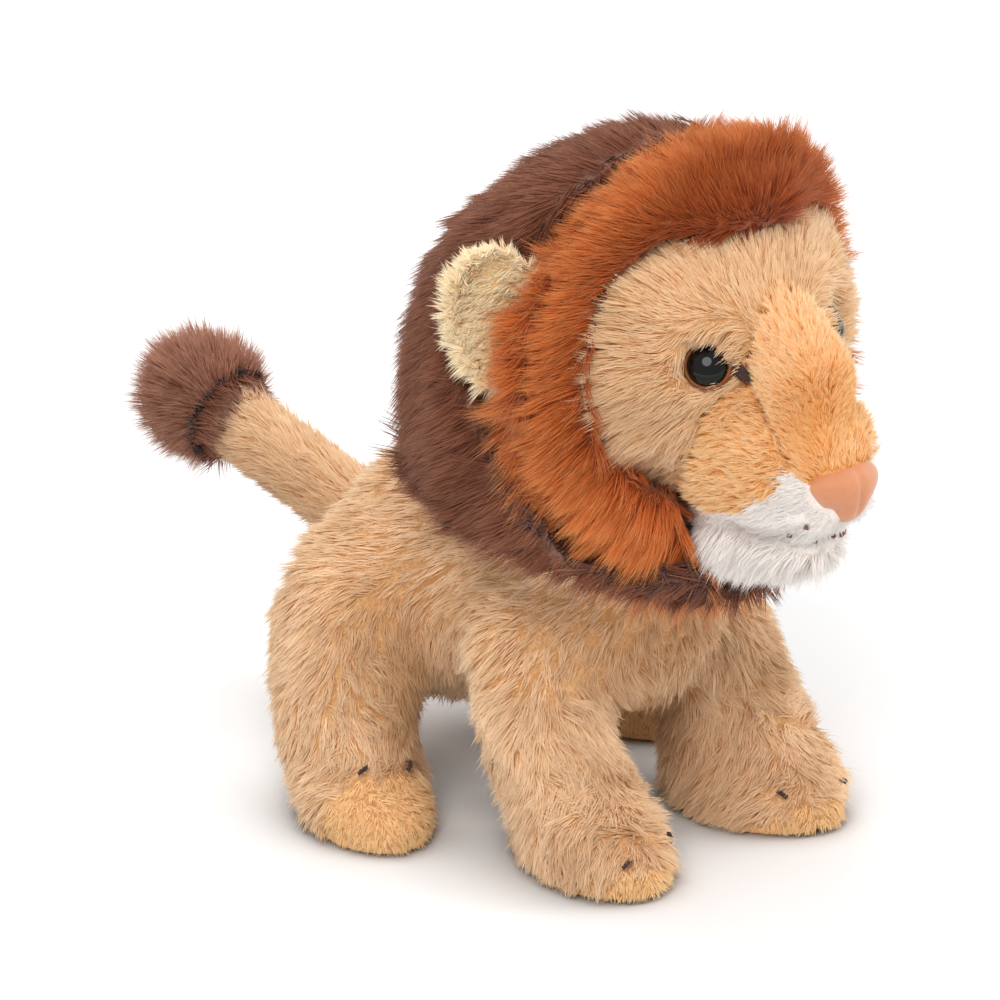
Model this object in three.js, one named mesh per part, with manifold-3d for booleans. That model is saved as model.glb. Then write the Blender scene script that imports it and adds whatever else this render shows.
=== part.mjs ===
import * as THREE from "three";
import { mergeVertices } from "three/addons/utils/BufferGeometryUtils.js";
import Module from "manifold-3d";

// A plush lion that stands on four soft paws: millimetres, +Z up, the lion faces -Y and its left side is +X.
// The pieces are laid out from the centre line between the fore paws, on the floor, and the finished
// group is moved so that its origin is under the middle of its box.

const wasm = await Module();
wasm.setup();

// Driving dimensions
const pile = 4; // thickness of the short-pile body fabric, backing and pile together
const gap = 0.3; // between sewn or stuffed pieces that touch
const runningGap = 0.5; // between pieces that flex against each other
const neckGap = 0.8; // between the neck's ball and the head's hollow, both faceted
const overrun = 30; // how far a cutting solid runs past what it cuts
const weldShare = 0.001; // of the gap: corners of a mesh that are closer than this are one corner

// Torso
const torsoFront = 2; // from the fore paws back to the chest
const torsoLength = 104;
const torsoHeight = 88;
const torsoHalfWidth = 37;
const torsoHalfHeight = 33;

// Fore legs
const foreStance = 26; // from the centre line to a fore paw's centre
const foreLean = 34; // how far behind its paw a shoulder lies
const foreLegHeight = 66;
const forePawHalfWidth = 18;
const forePawHalfLength = 25.5;
const foreSplay = THREE.MathUtils.degToRad(10);

// Hind legs
const hindStance = 45;
const hindPawBack = 63; // from the fore paws back to the hind paws' centres
const hindLean = 15; // how far behind its paw a hip lies
const hindLegHeight = 70;
const hindPawHalfWidth = 17;
const hindPawHalfLength = 25;
const hindSplay = THREE.MathUtils.degToRad(24);

// Soles
const soleThickness = 4;

// Belly gusset: the panel under the body, with the inner halves of the legs
const gussetHeight = 38;
const gussetForeHalfWidth = 27;
const gussetHindHalfWidth = 40;

// Neck
const neckBack = 25; // from the fore paws back to the neck's centre
const neckHeight = 82;
const neckBallRadius = 30;
const neckPlugRadius = 14;
const neckHoleAngle = THREE.MathUtils.degToRad(34); // half angle of the neck opening

// Head: the skull's middle is over the neck, and the face and the mane keep their places round it
const headOverNeck = 50;
const headHeight = neckHeight + headOverNeck;

// Mouth: the muzzle, the jaw, the lip, the ridge and the nose keep their places over or under it
const mouthUnderMiddle = 37;
const mouthHeight = headHeight - mouthUnderMiddle;
const lipHeight = 14;
const lipTop = mouthHeight + lipHeight;

// Skull and cheeks, muzzle, ridge of the nose and lower jaw
const skullBack = 40; // from the fore paws back to the back of the skull
const skullLength = 74;
const headHalfWidth = 38;
const headHalfHeight = 37;
const faceSeam = 2; // from the fore paws back to the seam where face and mane meet
const noseTip = 54; // from the fore paws forward to the front of the muzzle
const muzzleLength = 45;
const muzzleOverMouth = 11;
const muzzleHeight = mouthHeight + muzzleOverMouth;
const muzzleHalfWidth = 24;
const muzzleHalfHeight = 20;
const ridgeHalfWidth = 14;
const ridgeHalfHeight = 13;
const ridgeBack = 8; // the ridge's centre line: ahead of the fore paws at its top end
const ridgeOverMiddle = 14;
const ridgeTop = headHeight + ridgeOverMiddle;
const ridgeFront = 45; // and at its lower end
const ridgeOverMouth = 11;
const ridgeLow = mouthHeight + ridgeOverMouth;
const ridgeBow = 8; // how far its middle swells out of the straight line
const jawForward = 24;
const jawUnderMouth = 5;
const jawHeight = mouthHeight - jawUnderMouth;
const jawHalfWidth = 18;
const jawHalfLength = 24;
const jawHalfHeight = 15;

// Face panels
const lipForward = 36; // where the white lip starts, ahead of the fore paws
const chinForward = 10;
const muzzleForward = 24;
const muzzleSideHeight = 19;
const muzzleTop = lipTop + muzzleSideHeight;
const bridgeForward = 30; // the bridge panel's top end, ahead of the fore paws
const bridgeTopHalfWidth = 10;
const bridgeFarForward = 99; // its edges spread towards here, past the nose
const bridgeFarHalfWidth = 14;

// Nose
const noseHalfWidth = 9.5;
const noseHalfLength = 8;
const noseHalfHeight = 8;
const noseForward = 48.5;
const noseOverMouth = 9.5;
const noseHeight = mouthHeight + noseOverMouth;

// Safety eyes
const eyeDiameter = 12;
const eyeDome = 4.2;
const eyeRim = 1.2;
const shankDiameter = 4.5;
const shankLength = 13;
const lockDiameter = 14;
const lockThickness = 1.5;
const lockDepth = 5.5; // from the eye's rim down to its lock washer
const eyeSide = 19.8;
const eyeForward = 24;
const eyeOverMiddle = 1.5;
const eyeHeight = headHeight + eyeOverMiddle;
const eyeYaw = THREE.MathUtils.degToRad(40); // how far an eye looks out to its side
const eyePitch = THREE.MathUtils.degToRad(20); // and up

// Mane ring: the rust band round the face
const ringHalfWidth = 40;
const ringHalfHeight = 44;
const ringUnderMiddle = 5;
const ringHeight = headHeight - ringUnderMiddle;
const ringForward = 5;
const ringBow = 14; // how far further back the ring's sides lie
const ringRadial = 14;
const ringAlong = 15;

// Mane hood: the brown mane over the back of the head and down round the neck
const hoodOverMiddle = 46;
const hoodHeight = headHeight + hoodOverMiddle;
const hoodHalfWidth = 53;
const hoodHalfLength = 49;
const hoodBack = 25;
const rimFront = 15; // ahead of the fore paws
const rimUnderNeck = 13;
const rimFrontHeight = neckHeight - rimUnderNeck;
const rimBack = 70;
const rimOverNeck = 16;
const rimBackHeight = neckHeight + rimOverNeck;
const bibOverNeck = 2;
const bibHeight = neckHeight + bibOverNeck; // below this the hood also covers the throat

// Ears
const earHalfHeight = 18;
const earReach = 18;
const earLayer = 2.6; // thickness of each of the two layers
const earCup = 34; // radius of the ear's hollow
const earSide = 39;
const earBack = 18;
const earOverMiddle = 11;
const earHeight = headHeight + earOverMiddle;
const earRootDepth = 5; // how far the ear reaches into the seam, behind its fold
const earYaw = THREE.MathUtils.degToRad(42); // how far back an ear leans from straight out
const earTilt = THREE.MathUtils.degToRad(8);
const earFold = THREE.MathUtils.degToRad(12);

// Tail
const tailRadius = 10.5;
const tailFabric = 3;
const tailPastTorso = 5;
const tailRootBack = torsoFront + torsoLength + tailPastTorso;
const tailRootHeight = 50;
const tailLength = 44;
const tailRise = THREE.MathUtils.degToRad(15);
const tuftRadius = 17;
const tuftHalfLength = 20;
const tuftOverlap = 8; // how far the tuft reaches back over the tail's end
const rootBallGap = 1; // between the filling in the tail's seat and the cover round it
const boreOverrun = 60; // how far the hollow for the tail's filling runs past the tail's end

// Facets
const sides = 12; // round a loft
const neckSides = 20;
const neckRings = 12;
const ballSides = 12;
const ballRings = 7;
const eyeSides = 12;
const eyeSteps = 4; // from an eye's rim up to its top
const torsoSteps = 8;
const legSteps = 7;
const skullSteps = 8;
const muzzleSteps = 4;
const ridgeSteps = 3;
const ringSteps = 20;
const ringSides = 8;
const hoodSteps = 9;
const tailSteps = 3;
const capShare = 0.22; // height of the last fan of a loft over its last ring's radius
const leastShare = 0.1; // an inset ring keeps at least this share of its radius

const X = new THREE.Vector3(1, 0, 0);
const Y = new THREE.Vector3(0, 1, 0);
const Z = new THREE.Vector3(0, 0, 1);
const mirrored = new THREE.Vector3(-1, 1, 1);
const neckCentre = new THREE.Vector3(0, neckBack, neckHeight);

// Solids: closed meshes as manifolds, and manifolds as meshes

function solid(geometry) {
  const bare = geometry.index ? geometry.toNonIndexed() : geometry.clone();
  for (const name of Object.keys(bare.attributes)) {
    if (name !== "position") bare.deleteAttribute(name);
  }
  const merged = mergeVertices(bare, gap * weldShare);
  const mesh = new wasm.Mesh({
    numProp: 3,
    vertProperties: new Float32Array(merged.attributes.position.array),
    triVerts: new Uint32Array(merged.index.array),
  });
  const made = new wasm.Manifold(mesh);
  if (made.volume() > 0) return made;
  const turned = Uint32Array.from(mesh.triVerts);
  for (let i = 0; i < turned.length; i += 3) {
    [turned[i + 1], turned[i + 2]] = [turned[i + 2], turned[i + 1]];
  }
  return new wasm.Manifold(
    new wasm.Mesh({ numProp: 3, vertProperties: mesh.vertProperties, triVerts: turned }),
  );
}

function geometryOf(made) {
  const mesh = made.getMesh();
  const positions = new Float32Array(mesh.numVert * 3);
  for (let i = 0; i < mesh.numVert; i++) {
    positions.set(mesh.vertProperties.subarray(i * mesh.numProp, i * mesh.numProp + 3), i * 3);
  }
  const geometry = new THREE.BufferGeometry();
  geometry.setAttribute("position", new THREE.BufferAttribute(positions, 3));
  geometry.setIndex(new THREE.BufferAttribute(Uint32Array.from(mesh.triVerts), 1));
  geometry.computeVertexNormals();
  return geometry;
}

function join(...solids) {
  return solids.reduce((sum, next) => sum.add(next));
}

function cut(from, ...tools) {
  return tools.reduce((rest, tool) => rest.subtract(tool), from);
}

// A cut can leave crumbs where two curved faces nearly meet: the piece itself is the largest body.
function whole(made) {
  return made.decompose().sort((a, b) => b.volume() - a.volume())[0];
}

function mirror(geometry) {
  return geometry.clone().scale(mirrored.x, mirrored.y, mirrored.z);
}

// Lofts

// Rows of numbers become smooth rings in between. A row is a ring's centre, its two radii and its turn.
function smooth(rows, steps) {
  const width = rows[0].length;
  const places = rows.map((row, i) => i);
  const spline = new THREE.CubicInterpolant(places, rows.flat(), width);
  const fine = [];
  for (let i = 0; i <= steps; i++) {
    fine.push(Array.from(spline.evaluate((i / steps) * (rows.length - 1))));
  }
  return fine;
}

// A closed skin through elliptical rings. across and up give the plane of each ring for its turn,
// and grow makes the whole loft larger or, below zero, smaller by that much all round.
function loft(rows, steps, plane, grow = 0) {
  const rings = smooth(rows, steps);
  const first = new THREE.Vector3(...rings[0]);
  const last = new THREE.Vector3(...rings[steps]);
  const middle = first.clone().add(last).divideScalar(2);
  const length = first.distanceTo(last);
  const stretch = (length + grow + grow) / length;
  const vertices = [];
  for (const [cx, cy, cz, ra, rb, turn] of rings) {
    const centre = new THREE.Vector3(cx, cy, cz);
    const moved = centre.clone().sub(middle).multiplyScalar(stretch).add(middle).sub(centre);
    centre.addScaledVector(plane.along, moved.dot(plane.along));
    const a = Math.max(ra + grow, ra * leastShare);
    const b = Math.max(rb + grow, rb * leastShare);
    for (let i = 0; i < sides; i++) {
      const angle = (i / sides) * 2 * Math.PI;
      const point = plane.across.clone().multiplyScalar(a * Math.cos(angle));
      point.addScaledVector(plane.up, b * Math.sin(angle));
      point.applyAxisAngle(plane.along, turn || 0).add(centre);
      vertices.push(point);
    }
  }
  const tipOf = (ring, sign) => {
    const centre = new THREE.Vector3();
    for (let i = 0; i < sides; i++) centre.add(vertices[ring * sides + i]);
    centre.divideScalar(sides);
    const height = capShare * Math.min(rings[ring][3], rings[ring][4]);
    const forward = last.clone().sub(first).dot(plane.along) > 0 ? sign : -sign;
    return centre.addScaledVector(plane.along, forward * height);
  };
  const start = vertices.length;
  vertices.push(tipOf(0, -1), tipOf(steps, 1));
  const faces = [];
  for (let s = 0; s < steps; s++) {
    for (let i = 0; i < sides; i++) {
      const j = (i + 1) % sides;
      const p = s * sides;
      const q = p + sides;
      faces.push(p + i, p + j, q + j, p + i, q + j, q + i);
    }
  }
  for (let i = 0; i < sides; i++) {
    const j = (i + 1) % sides;
    faces.push(start, j, i, start + 1, steps * sides + i, steps * sides + j);
  }
  const geometry = new THREE.BufferGeometry().setFromPoints(vertices);
  geometry.setIndex(faces);
  return geometry;
}

const upright = { across: X, up: Z, along: Y }; // rings that stand, one behind the other
const level = { across: X, up: Y, along: Z }; // rings that lie, one above the other

function ellipsoid(centre, a, b, c, around = ballSides, over = ballRings) {
  const ball = new THREE.SphereGeometry(1, around, over);
  return ball.scale(a, b, c).translate(centre.x, centre.y, centre.z);
}

function slab(low, high) {
  const box = new THREE.BoxGeometry(high.x - low.x, high.y - low.y, high.z - low.z);
  return box.translate((low.x + high.x) / 2, (low.y + high.y) / 2, (low.z + high.z) / 2);
}

// Everything on the one side and on the other side of the centre line's seam
const reach = torsoLength + hoodHeight;
const tallest = hoodHeight + overrun;
const leftHalf = solid(
  slab(new THREE.Vector3(gap / 2, -reach, -overrun), new THREE.Vector3(reach, reach, tallest)),
);
const rightHalf = solid(
  slab(new THREE.Vector3(-reach, -reach, -overrun), new THREE.Vector3(-gap / 2, reach, tallest)),
);

// A panel on each side of the centre line, left first, out of one skin
function halves(made) {
  return [whole(made.intersect(leftHalf)), whole(made.intersect(rightHalf))];
}

// Body outline: torso with the neck's ball, and the four legs

const torsoShares = [
  [0, 0.66, 0.3, 0.4],
  [0.08, 0.66, 0.62, 0.78],
  [0.22, 0.67, 0.78, 0.94],
  [0.41, 0.62, 0.92, 0.96],
  [0.56, 0.59, 0.95, 1],
  [0.7, 0.575, 0.98, 1],
  [0.84, 0.555, 0.93, 0.95],
  [0.94, 0.53, 0.71, 0.74],
  [1, 0.52, 0.3, 0.32],
];

function torso(grow) {
  const rows = torsoShares.map(([back, height, wide, high]) => [
    0,
    torsoFront + back * torsoLength,
    height * torsoHeight,
    wide * torsoHalfWidth,
    high * torsoHalfHeight,
    0,
  ]);
  const ball = ellipsoid(
    neckCentre,
    neckBallRadius + grow,
    neckBallRadius + grow,
    neckBallRadius + grow,
    neckSides,
    neckRings,
  );
  return join(solid(loft(rows, torsoSteps, upright, grow)), solid(ball));
}

// Rows from the shoulder down: height, place out from the centre line, lean back, radii, splay.
// The soles are as large as the row at the foot.
const foreFootShares = [0.05, 1, 0.2, 0.96, 1.02, 1];
const hindFootShares = [0.05, 1, 0, 0.96, 0.97, 1];
const foreLegShares = [
  [1, 0.85, 1, 0.42, 0.36, 0],
  [0.9, 0.92, 0.97, 0.74, 0.6, 0],
  [0.72, 1.06, 0.82, 0.88, 0.7, 0.2],
  [0.5, 1.1, 0.64, 0.9, 0.74, 0.4],
  [0.3, 1.06, 0.43, 0.94, 0.88, 0.8],
  [0.16, 1.02, 0.24, 1, 1.04, 1],
  foreFootShares,
  [-0.1, 1, 0.2, 0.9, 0.96, 1],
];

const hindLegShares = [
  [1, 0.5, 1, 0.5, 0.5, 0],
  [0.84, 0.66, 1, 0.94, 0.84, 0],
  [0.62, 0.8, 0.95, 1.02, 0.94, 0.2],
  [0.4, 0.9, 0.85, 0.98, 0.9, 0.5],
  [0.23, 0.97, 0.55, 0.96, 0.92, 0.9],
  [0.13, 1, 0.1, 1, 1, 1],
  hindFootShares,
  [-0.1, 1, 0, 0.9, 0.9, 1],
];

function foreLeg(grow) {
  const rows = foreLegShares.map(([height, out, lean, wide, long, splay]) => [
    out * foreStance,
    lean * foreLean,
    height * foreLegHeight,
    wide * forePawHalfWidth,
    long * forePawHalfLength,
    splay * foreSplay,
  ]);
  return solid(loft(rows, legSteps, level, grow));
}

function hindLeg(grow) {
  const rows = hindLegShares.map(([height, out, lean, wide, long, splay]) => [
    out * hindStance,
    hindPawBack + lean * hindLean,
    height * hindLegHeight,
    wide * hindPawHalfWidth,
    long * hindPawHalfLength,
    splay * hindSplay,
  ]);
  return solid(loft(rows, legSteps, level, grow));
}

function mirroredSolid(made) {
  return solid(mirror(geometryOf(made)));
}

function bothSides(made) {
  return join(made, mirroredSolid(made));
}

const soleTop = soleThickness + gap;
const underSoles = solid(
  slab(new THREE.Vector3(-reach, -reach, -tallest), new THREE.Vector3(reach, reach, soleTop)),
);

// Neck plug: the wad of filling that passes through the neck opening. It is round about the
// vertical through the neck's centre, and both its ball and its head are round about that centre.
function neckPlug(grow) {
  const ballRadius = neckPlugRadius + grow;
  const headRadius = neckBallRadius + (grow > 0 ? pile : 0);
  const angle = neckHoleAngle + grow / neckPlugRadius;
  const steps = neckRings / 2;
  const profile = [];
  for (let i = 0; i <= steps; i++) {
    const polar = Math.PI - (i / steps) * (Math.PI - angle);
    profile.push(new THREE.Vector2(ballRadius * Math.sin(polar), ballRadius * Math.cos(polar)));
  }
  for (let i = 0; i <= steps / 2; i++) {
    const polar = angle * (1 - i / (steps / 2));
    profile.push(new THREE.Vector2(headRadius * Math.sin(polar), headRadius * Math.cos(polar)));
  }
  profile[0].x = 0;
  profile[profile.length - 1].x = 0;
  const plug = new THREE.LatheGeometry(profile, neckSides);
  return solid(plug.rotateX(Math.PI / 2).translate(neckCentre.x, neckCentre.y, neckCentre.z));
}

// Tail

const tailAlong = new THREE.Vector3(0, Math.cos(tailRise), Math.sin(tailRise));
const tailUp = new THREE.Vector3(0, -Math.sin(tailRise), Math.cos(tailRise));
const tailRoot = new THREE.Vector3(0, tailRootBack, tailRootHeight);
const tailPlane = { across: X, up: tailUp, along: tailAlong };
const tailShares = [
  [0, 1],
  [0.3, 0.95],
  [0.65, 0.94],
  [1, 1],
];

function tailTube(grow, extra) {
  const rows = tailShares.map(([along, wide]) => {
    const centre = tailRoot.clone().addScaledVector(tailAlong, along * (tailLength + extra));
    return [centre.x, centre.y, centre.z, wide * tailRadius, wide * tailRadius, 0];
  });
  const root = ellipsoid(tailRoot, tailRadius + grow, tailRadius + grow, tailRadius + grow);
  return join(solid(loft(rows, tailSteps, tailPlane, grow)), solid(root));
}

// Lays a form that was made along Y from the origin along the tail
function onTail(geometry) {
  return solid(geometry.rotateX(tailRise).translate(tailRoot.x, tailRoot.y, tailRoot.z));
}

// Everything past a place along the tail
function pastTail(along) {
  return onTail(
    slab(new THREE.Vector3(-reach, along, -reach), new THREE.Vector3(reach, reach, reach)),
  );
}

const tailEndCut = pastTail(tailLength);
const rootHalf = onTail(
  slab(new THREE.Vector3(-reach, -reach, -reach), new THREE.Vector3(reach, 0, reach)),
);
const tailSeat = solid(
  ellipsoid(tailRoot, tailRadius + runningGap, tailRadius + runningGap, tailRadius + runningGap),
);

// Body pieces

const legs = (grow) => join(bothSides(foreLeg(grow)), bothSides(hindLeg(grow)));
const bodySkin = cut(
  join(torso(0), legs(0)),
  torso(-pile),
  legs(-pile),
  underSoles,
  neckPlug(runningGap),
  tailSeat,
);

function gussetBlock(grow) {
  const plan = new THREE.Shape();
  const front = -forePawHalfLength - overrun;
  const middle = foreLean;
  const hind = hindPawBack - hindPawHalfLength;
  const back = torsoFront + torsoLength + overrun;
  plan.moveTo(gussetForeHalfWidth + grow, front);
  plan.lineTo(gussetForeHalfWidth + grow, middle);
  plan.lineTo(gussetHindHalfWidth + grow, hind);
  plan.lineTo(gussetHindHalfWidth + grow, back);
  plan.lineTo(-gussetHindHalfWidth - grow, back);
  plan.lineTo(-gussetHindHalfWidth - grow, hind);
  plan.lineTo(-gussetForeHalfWidth - grow, middle);
  plan.lineTo(-gussetForeHalfWidth - grow, front);
  plan.closePath();
  const block = new THREE.ExtrudeGeometry(plan, {
    depth: gussetHeight + overrun + grow,
    bevelEnabled: false,
  });
  return solid(block.translate(0, 0, -overrun));
}

const bellyGusset = whole(bodySkin.intersect(gussetBlock(0)));
const bodySides = halves(cut(bodySkin, gussetBlock(gap)));

const fillingInset = -pile - gap;
const torsoFilling = whole(cut(torso(fillingInset), neckPlug(runningGap), tailSeat));
const foreLegFilling = whole(cut(foreLeg(fillingInset), torso(-pile), underSoles));
const hindLegFilling = whole(cut(hindLeg(fillingInset), torso(-pile), underSoles));

// A sole: an oval pad, flat where it stands
const soleProfileShares = [
  [0, 0],
  [0.86, 0],
  [0.96, 0.2],
  [1, 0.5],
  [0.97, 0.85],
  [0.9, 1],
  [0, 1],
];

function sole([, out, lean, wide, long, splay], stance, back, leaning, halfWidth, halfLength, turn) {
  const profile = soleProfileShares.map(([r, h]) => new THREE.Vector2(r, h * soleThickness));
  const pad = new THREE.LatheGeometry(profile, sides).rotateX(Math.PI / 2);
  pad.scale(wide * halfWidth, long * halfLength, 1).rotateZ(splay * turn);
  return solid(pad.translate(out * stance, back + lean * leaning, 0));
}

const foreSole = sole(
  foreFootShares,
  foreStance,
  0,
  foreLean,
  forePawHalfWidth,
  forePawHalfLength,
  foreSplay,
);
const hindSole = sole(
  hindFootShares,
  hindStance,
  hindPawBack,
  hindLean,
  hindPawHalfWidth,
  hindPawHalfLength,
  hindSplay,
);

// Head outline: skull and face, and the jaw

// Rows from the back of the skull to the brow: place forward, drop, half width, half height.
const skullShares = [
  [0, 0.107, 0.3, 0.32],
  [0.08, 0.107, 0.66, 0.68],
  [0.24, 0.089, 0.94, 0.94],
  [0.45, 0.071, 1, 1],
  [0.64, 0.054, 0.98, 0.97],
  [0.76, 0.054, 0.86, 0.89],
  [0.86, 0.107, 0.68, 0.74],
  [0.94, 0.161, 0.48, 0.54],
  [1, 0.178, 0.22, 0.26],
];

// Rows from the cheeks to the nose: place forward, lift, half width, half height.
const muzzleShares = [
  [0, 0.159, 0.9, 0.9],
  [0.25, 0.106, 1.05, 1.05],
  [0.5, 0.053, 0.98, 1],
  [0.75, 0, 0.8, 0.88],
  [0.92, 0, 0.58, 0.64],
  [1, 0, 0.3, 0.34],
];

// Rows down the ridge of the nose: place along, radius.
const ridgeShares = [
  [0, 0.5],
  [0.15, 0.84],
  [0.4, 1],
  [0.75, 0.9],
  [1, 0.62],
];

function face(grow) {
  const skull = skullShares.map(([forward, drop, wide, high]) => [
    0,
    skullBack - forward * skullLength,
    headHeight - drop * headHalfHeight,
    wide * headHalfWidth,
    high * headHalfHeight,
    0,
  ]);
  const muzzle = muzzleShares.map(([forward, lift, wide, high]) => [
    0,
    -noseTip + (1 - forward) * muzzleLength,
    muzzleHeight + lift * muzzleHalfHeight,
    wide * muzzleHalfWidth,
    high * muzzleHalfHeight,
    0,
  ]);
  const ridgeAlong = new THREE.Vector3(0, ridgeBack - ridgeFront, ridgeLow - ridgeTop).normalize();
  const ridgeUp = ridgeAlong.clone().cross(X);
  const ridgePlane = { across: X, up: ridgeUp, along: ridgeAlong };
  const ridge = ridgeShares.map(([along, wide]) => {
    const bow = ridgeBow * (1 - (2 * along - 1) ** 2);
    return [
      0,
      -ridgeBack - along * (ridgeFront - ridgeBack) - bow * Math.abs(ridgeUp.y),
      ridgeTop - along * (ridgeTop - ridgeLow) + bow * Math.abs(ridgeUp.z),
      wide * ridgeHalfWidth,
      wide * ridgeHalfHeight,
      0,
    ];
  });
  const jawCentre = new THREE.Vector3(0, -jawForward, jawHeight);
  const jaw = ellipsoid(jawCentre, jawHalfWidth + grow, jawHalfLength + grow, jawHalfHeight + grow);
  return join(
    solid(loft(skull, skullSteps, upright, grow)),
    solid(loft(muzzle, muzzleSteps, upright, grow)),
    solid(loft(ridge, ridgeSteps, ridgePlane, grow)),
    solid(jaw),
  );
}

const neckCavity = solid(
  ellipsoid(
    neckCentre,
    neckBallRadius + neckGap,
    neckBallRadius + neckGap,
    neckBallRadius + neckGap,
    neckSides,
    neckRings,
  ),
);

// Safety eye: a dome on a shank, pushed through the cheek and held by a lock washer inside

function onEye(geometry, side) {
  geometry.rotateX(Math.PI - eyePitch);
  geometry.rotateZ(eyeYaw);
  geometry.translate(eyeSide, -eyeForward, eyeHeight);
  return side > 0 ? geometry : mirror(geometry);
}

function eye(grow) {
  const radius = eyeDiameter / 2 + grow;
  const shank = shankDiameter / 2 + grow;
  const profile = [
    new THREE.Vector2(0, -shankLength - grow),
    new THREE.Vector2(shank, -shankLength - grow),
    new THREE.Vector2(shank, -eyeRim - grow),
    new THREE.Vector2(radius, -eyeRim - grow),
  ];
  for (let i = 0; i <= eyeSteps; i++) {
    const angle = ((i / eyeSteps) * Math.PI) / 2;
    profile.push(new THREE.Vector2(radius * Math.cos(angle), (eyeDome + grow) * Math.sin(angle)));
  }
  profile[profile.length - 1].x = 0;
  return new THREE.LatheGeometry(profile, eyeSides);
}

function eyeLock(grow) {
  const inner = shankDiameter / 2 + gap - grow;
  const outer = lockDiameter / 2 + grow;
  const low = -lockDepth - lockThickness - grow;
  const high = -lockDepth + grow;
  const profile = [
    new THREE.Vector2(inner, low),
    new THREE.Vector2(outer, low),
    new THREE.Vector2(outer, high),
    new THREE.Vector2(inner, high),
    new THREE.Vector2(inner, low),
  ];
  return new THREE.LatheGeometry(profile, eyeSides);
}

// The room that an eye and its washer need, open all the way out of the cheek
function eyeRoom(grow) {
  const shankRoom = new THREE.CylinderGeometry(
    shankDiameter / 2 + grow,
    shankDiameter / 2 + grow,
    shankLength + grow + eyeDome,
    eyeSides,
  ).translate(0, (eyeDome - shankLength - grow) / 2, 0);
  return join(solid(onEye(eye(grow), 1)), solid(onEye(shankRoom, 1)));
}

const lockRoomGeometry = new THREE.CylinderGeometry(
  lockDiameter / 2 + gap,
  lockDiameter / 2 + gap,
  lockDepth + lockThickness + gap * 2,
  eyeSides,
).translate(0, -(lockDepth + lockThickness + gap * 2) / 2, 0);
const lockRoom = solid(onEye(lockRoomGeometry, 1));

// Face fabric, cut into the panels that are sewn together

const behindSeam = solid(
  slab(new THREE.Vector3(-reach, faceSeam, -overrun), new THREE.Vector3(reach, reach, tallest)),
);
const noseCentre = new THREE.Vector3(0, -noseForward, noseHeight);
const noseBall = (grow) =>
  solid(ellipsoid(noseCentre, noseHalfWidth + grow, noseHalfLength + grow, noseHalfHeight + grow));

const faceSkin = cut(
  face(0),
  face(-pile),
  behindSeam,
  bothSides(eyeRoom(gap)),
  noseBall(gap),
  neckCavity,
);

function bridgeBlock(grow) {
  const plan = new THREE.Shape();
  plan.moveTo(-bridgeTopHalfWidth - grow, -bridgeForward + grow);
  plan.lineTo(-bridgeFarHalfWidth - grow, -bridgeFarForward);
  plan.lineTo(bridgeFarHalfWidth + grow, -bridgeFarForward);
  plan.lineTo(bridgeTopHalfWidth + grow, -bridgeForward + grow);
  plan.closePath();
  const block = new THREE.ExtrudeGeometry(plan, { depth: tallest, bevelEnabled: false });
  return solid(block.translate(0, 0, lipTop - grow));
}

function frontBlock(forward, low, high, grow) {
  return solid(
    slab(
      new THREE.Vector3(-reach, -reach, low - grow),
      new THREE.Vector3(reach, -forward + grow, high + grow),
    ),
  );
}

const chinBlock = (grow) => frontBlock(chinForward, -overrun, mouthHeight, grow);
const lipBlock = (grow) => frontBlock(lipForward, mouthHeight + gap, lipTop - gap, grow);
const muzzleBlock = (grow) => frontBlock(muzzleForward, mouthHeight + gap, muzzleTop, grow);

const bridge = whole(faceSkin.intersect(bridgeBlock(0)));
const offBridge = cut(faceSkin, bridgeBlock(gap));
const chin = whole(offBridge.intersect(chinBlock(0)));
const offChin = cut(offBridge, chinBlock(gap));
const upperLips = halves(offChin.intersect(lipBlock(0)));
const offLip = cut(offChin, lipBlock(gap));
const muzzleSides = halves(offLip.intersect(muzzleBlock(0)));
const cheeks = halves(cut(offLip, muzzleBlock(gap)));

const noseSolid = whole(cut(noseBall(0), face(fillingInset + gap)));

// Mane ring: a fat band swept round the face

function maneRing(grow) {
  const vertices = [];
  for (let s = 0; s < ringSteps; s++) {
    const turn = (s / ringSteps) * 2 * Math.PI;
    const outward = new THREE.Vector3(Math.sin(turn), 0, Math.cos(turn));
    const centre = new THREE.Vector3(
      ringHalfWidth * Math.sin(turn),
      -ringForward + ringBow * Math.sin(turn) ** 2,
      ringHeight + ringHalfHeight * Math.cos(turn),
    );
    for (let i = 0; i < ringSides; i++) {
      const angle = (i / ringSides) * 2 * Math.PI;
      const point = centre.clone().addScaledVector(outward, (ringRadial + grow) * Math.cos(angle));
      point.addScaledVector(Y, (ringAlong + grow) * Math.sin(angle));
      vertices.push(point);
    }
  }
  const faces = [];
  for (let s = 0; s < ringSteps; s++) {
    for (let i = 0; i < ringSides; i++) {
      const p = s * ringSides;
      const q = ((s + 1) % ringSteps) * ringSides;
      const j = (i + 1) % ringSides;
      faces.push(p + i, p + j, q + j, p + i, q + j, q + i);
    }
  }
  const geometry = new THREE.BufferGeometry().setFromPoints(vertices);
  geometry.setIndex(faces);
  return solid(geometry);
}

// Mane hood

// Rows from the rim up: height, place back, half width, half length.
const hoodShares = [
  [0.28, 0.9, 0.7, 0.72],
  [0.37, 0.96, 0.8, 0.86],
  [0.46, 1, 0.92, 0.96],
  [0.54, 1, 0.98, 1],
  [0.63, 1, 1, 1],
  [0.71, 0.98, 0.97, 0.98],
  [0.79, 0.92, 0.9, 0.92],
  [0.87, 0.82, 0.76, 0.79],
  [0.94, 0.68, 0.54, 0.58],
  [0.985, 0.6, 0.28, 0.3],
];

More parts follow.
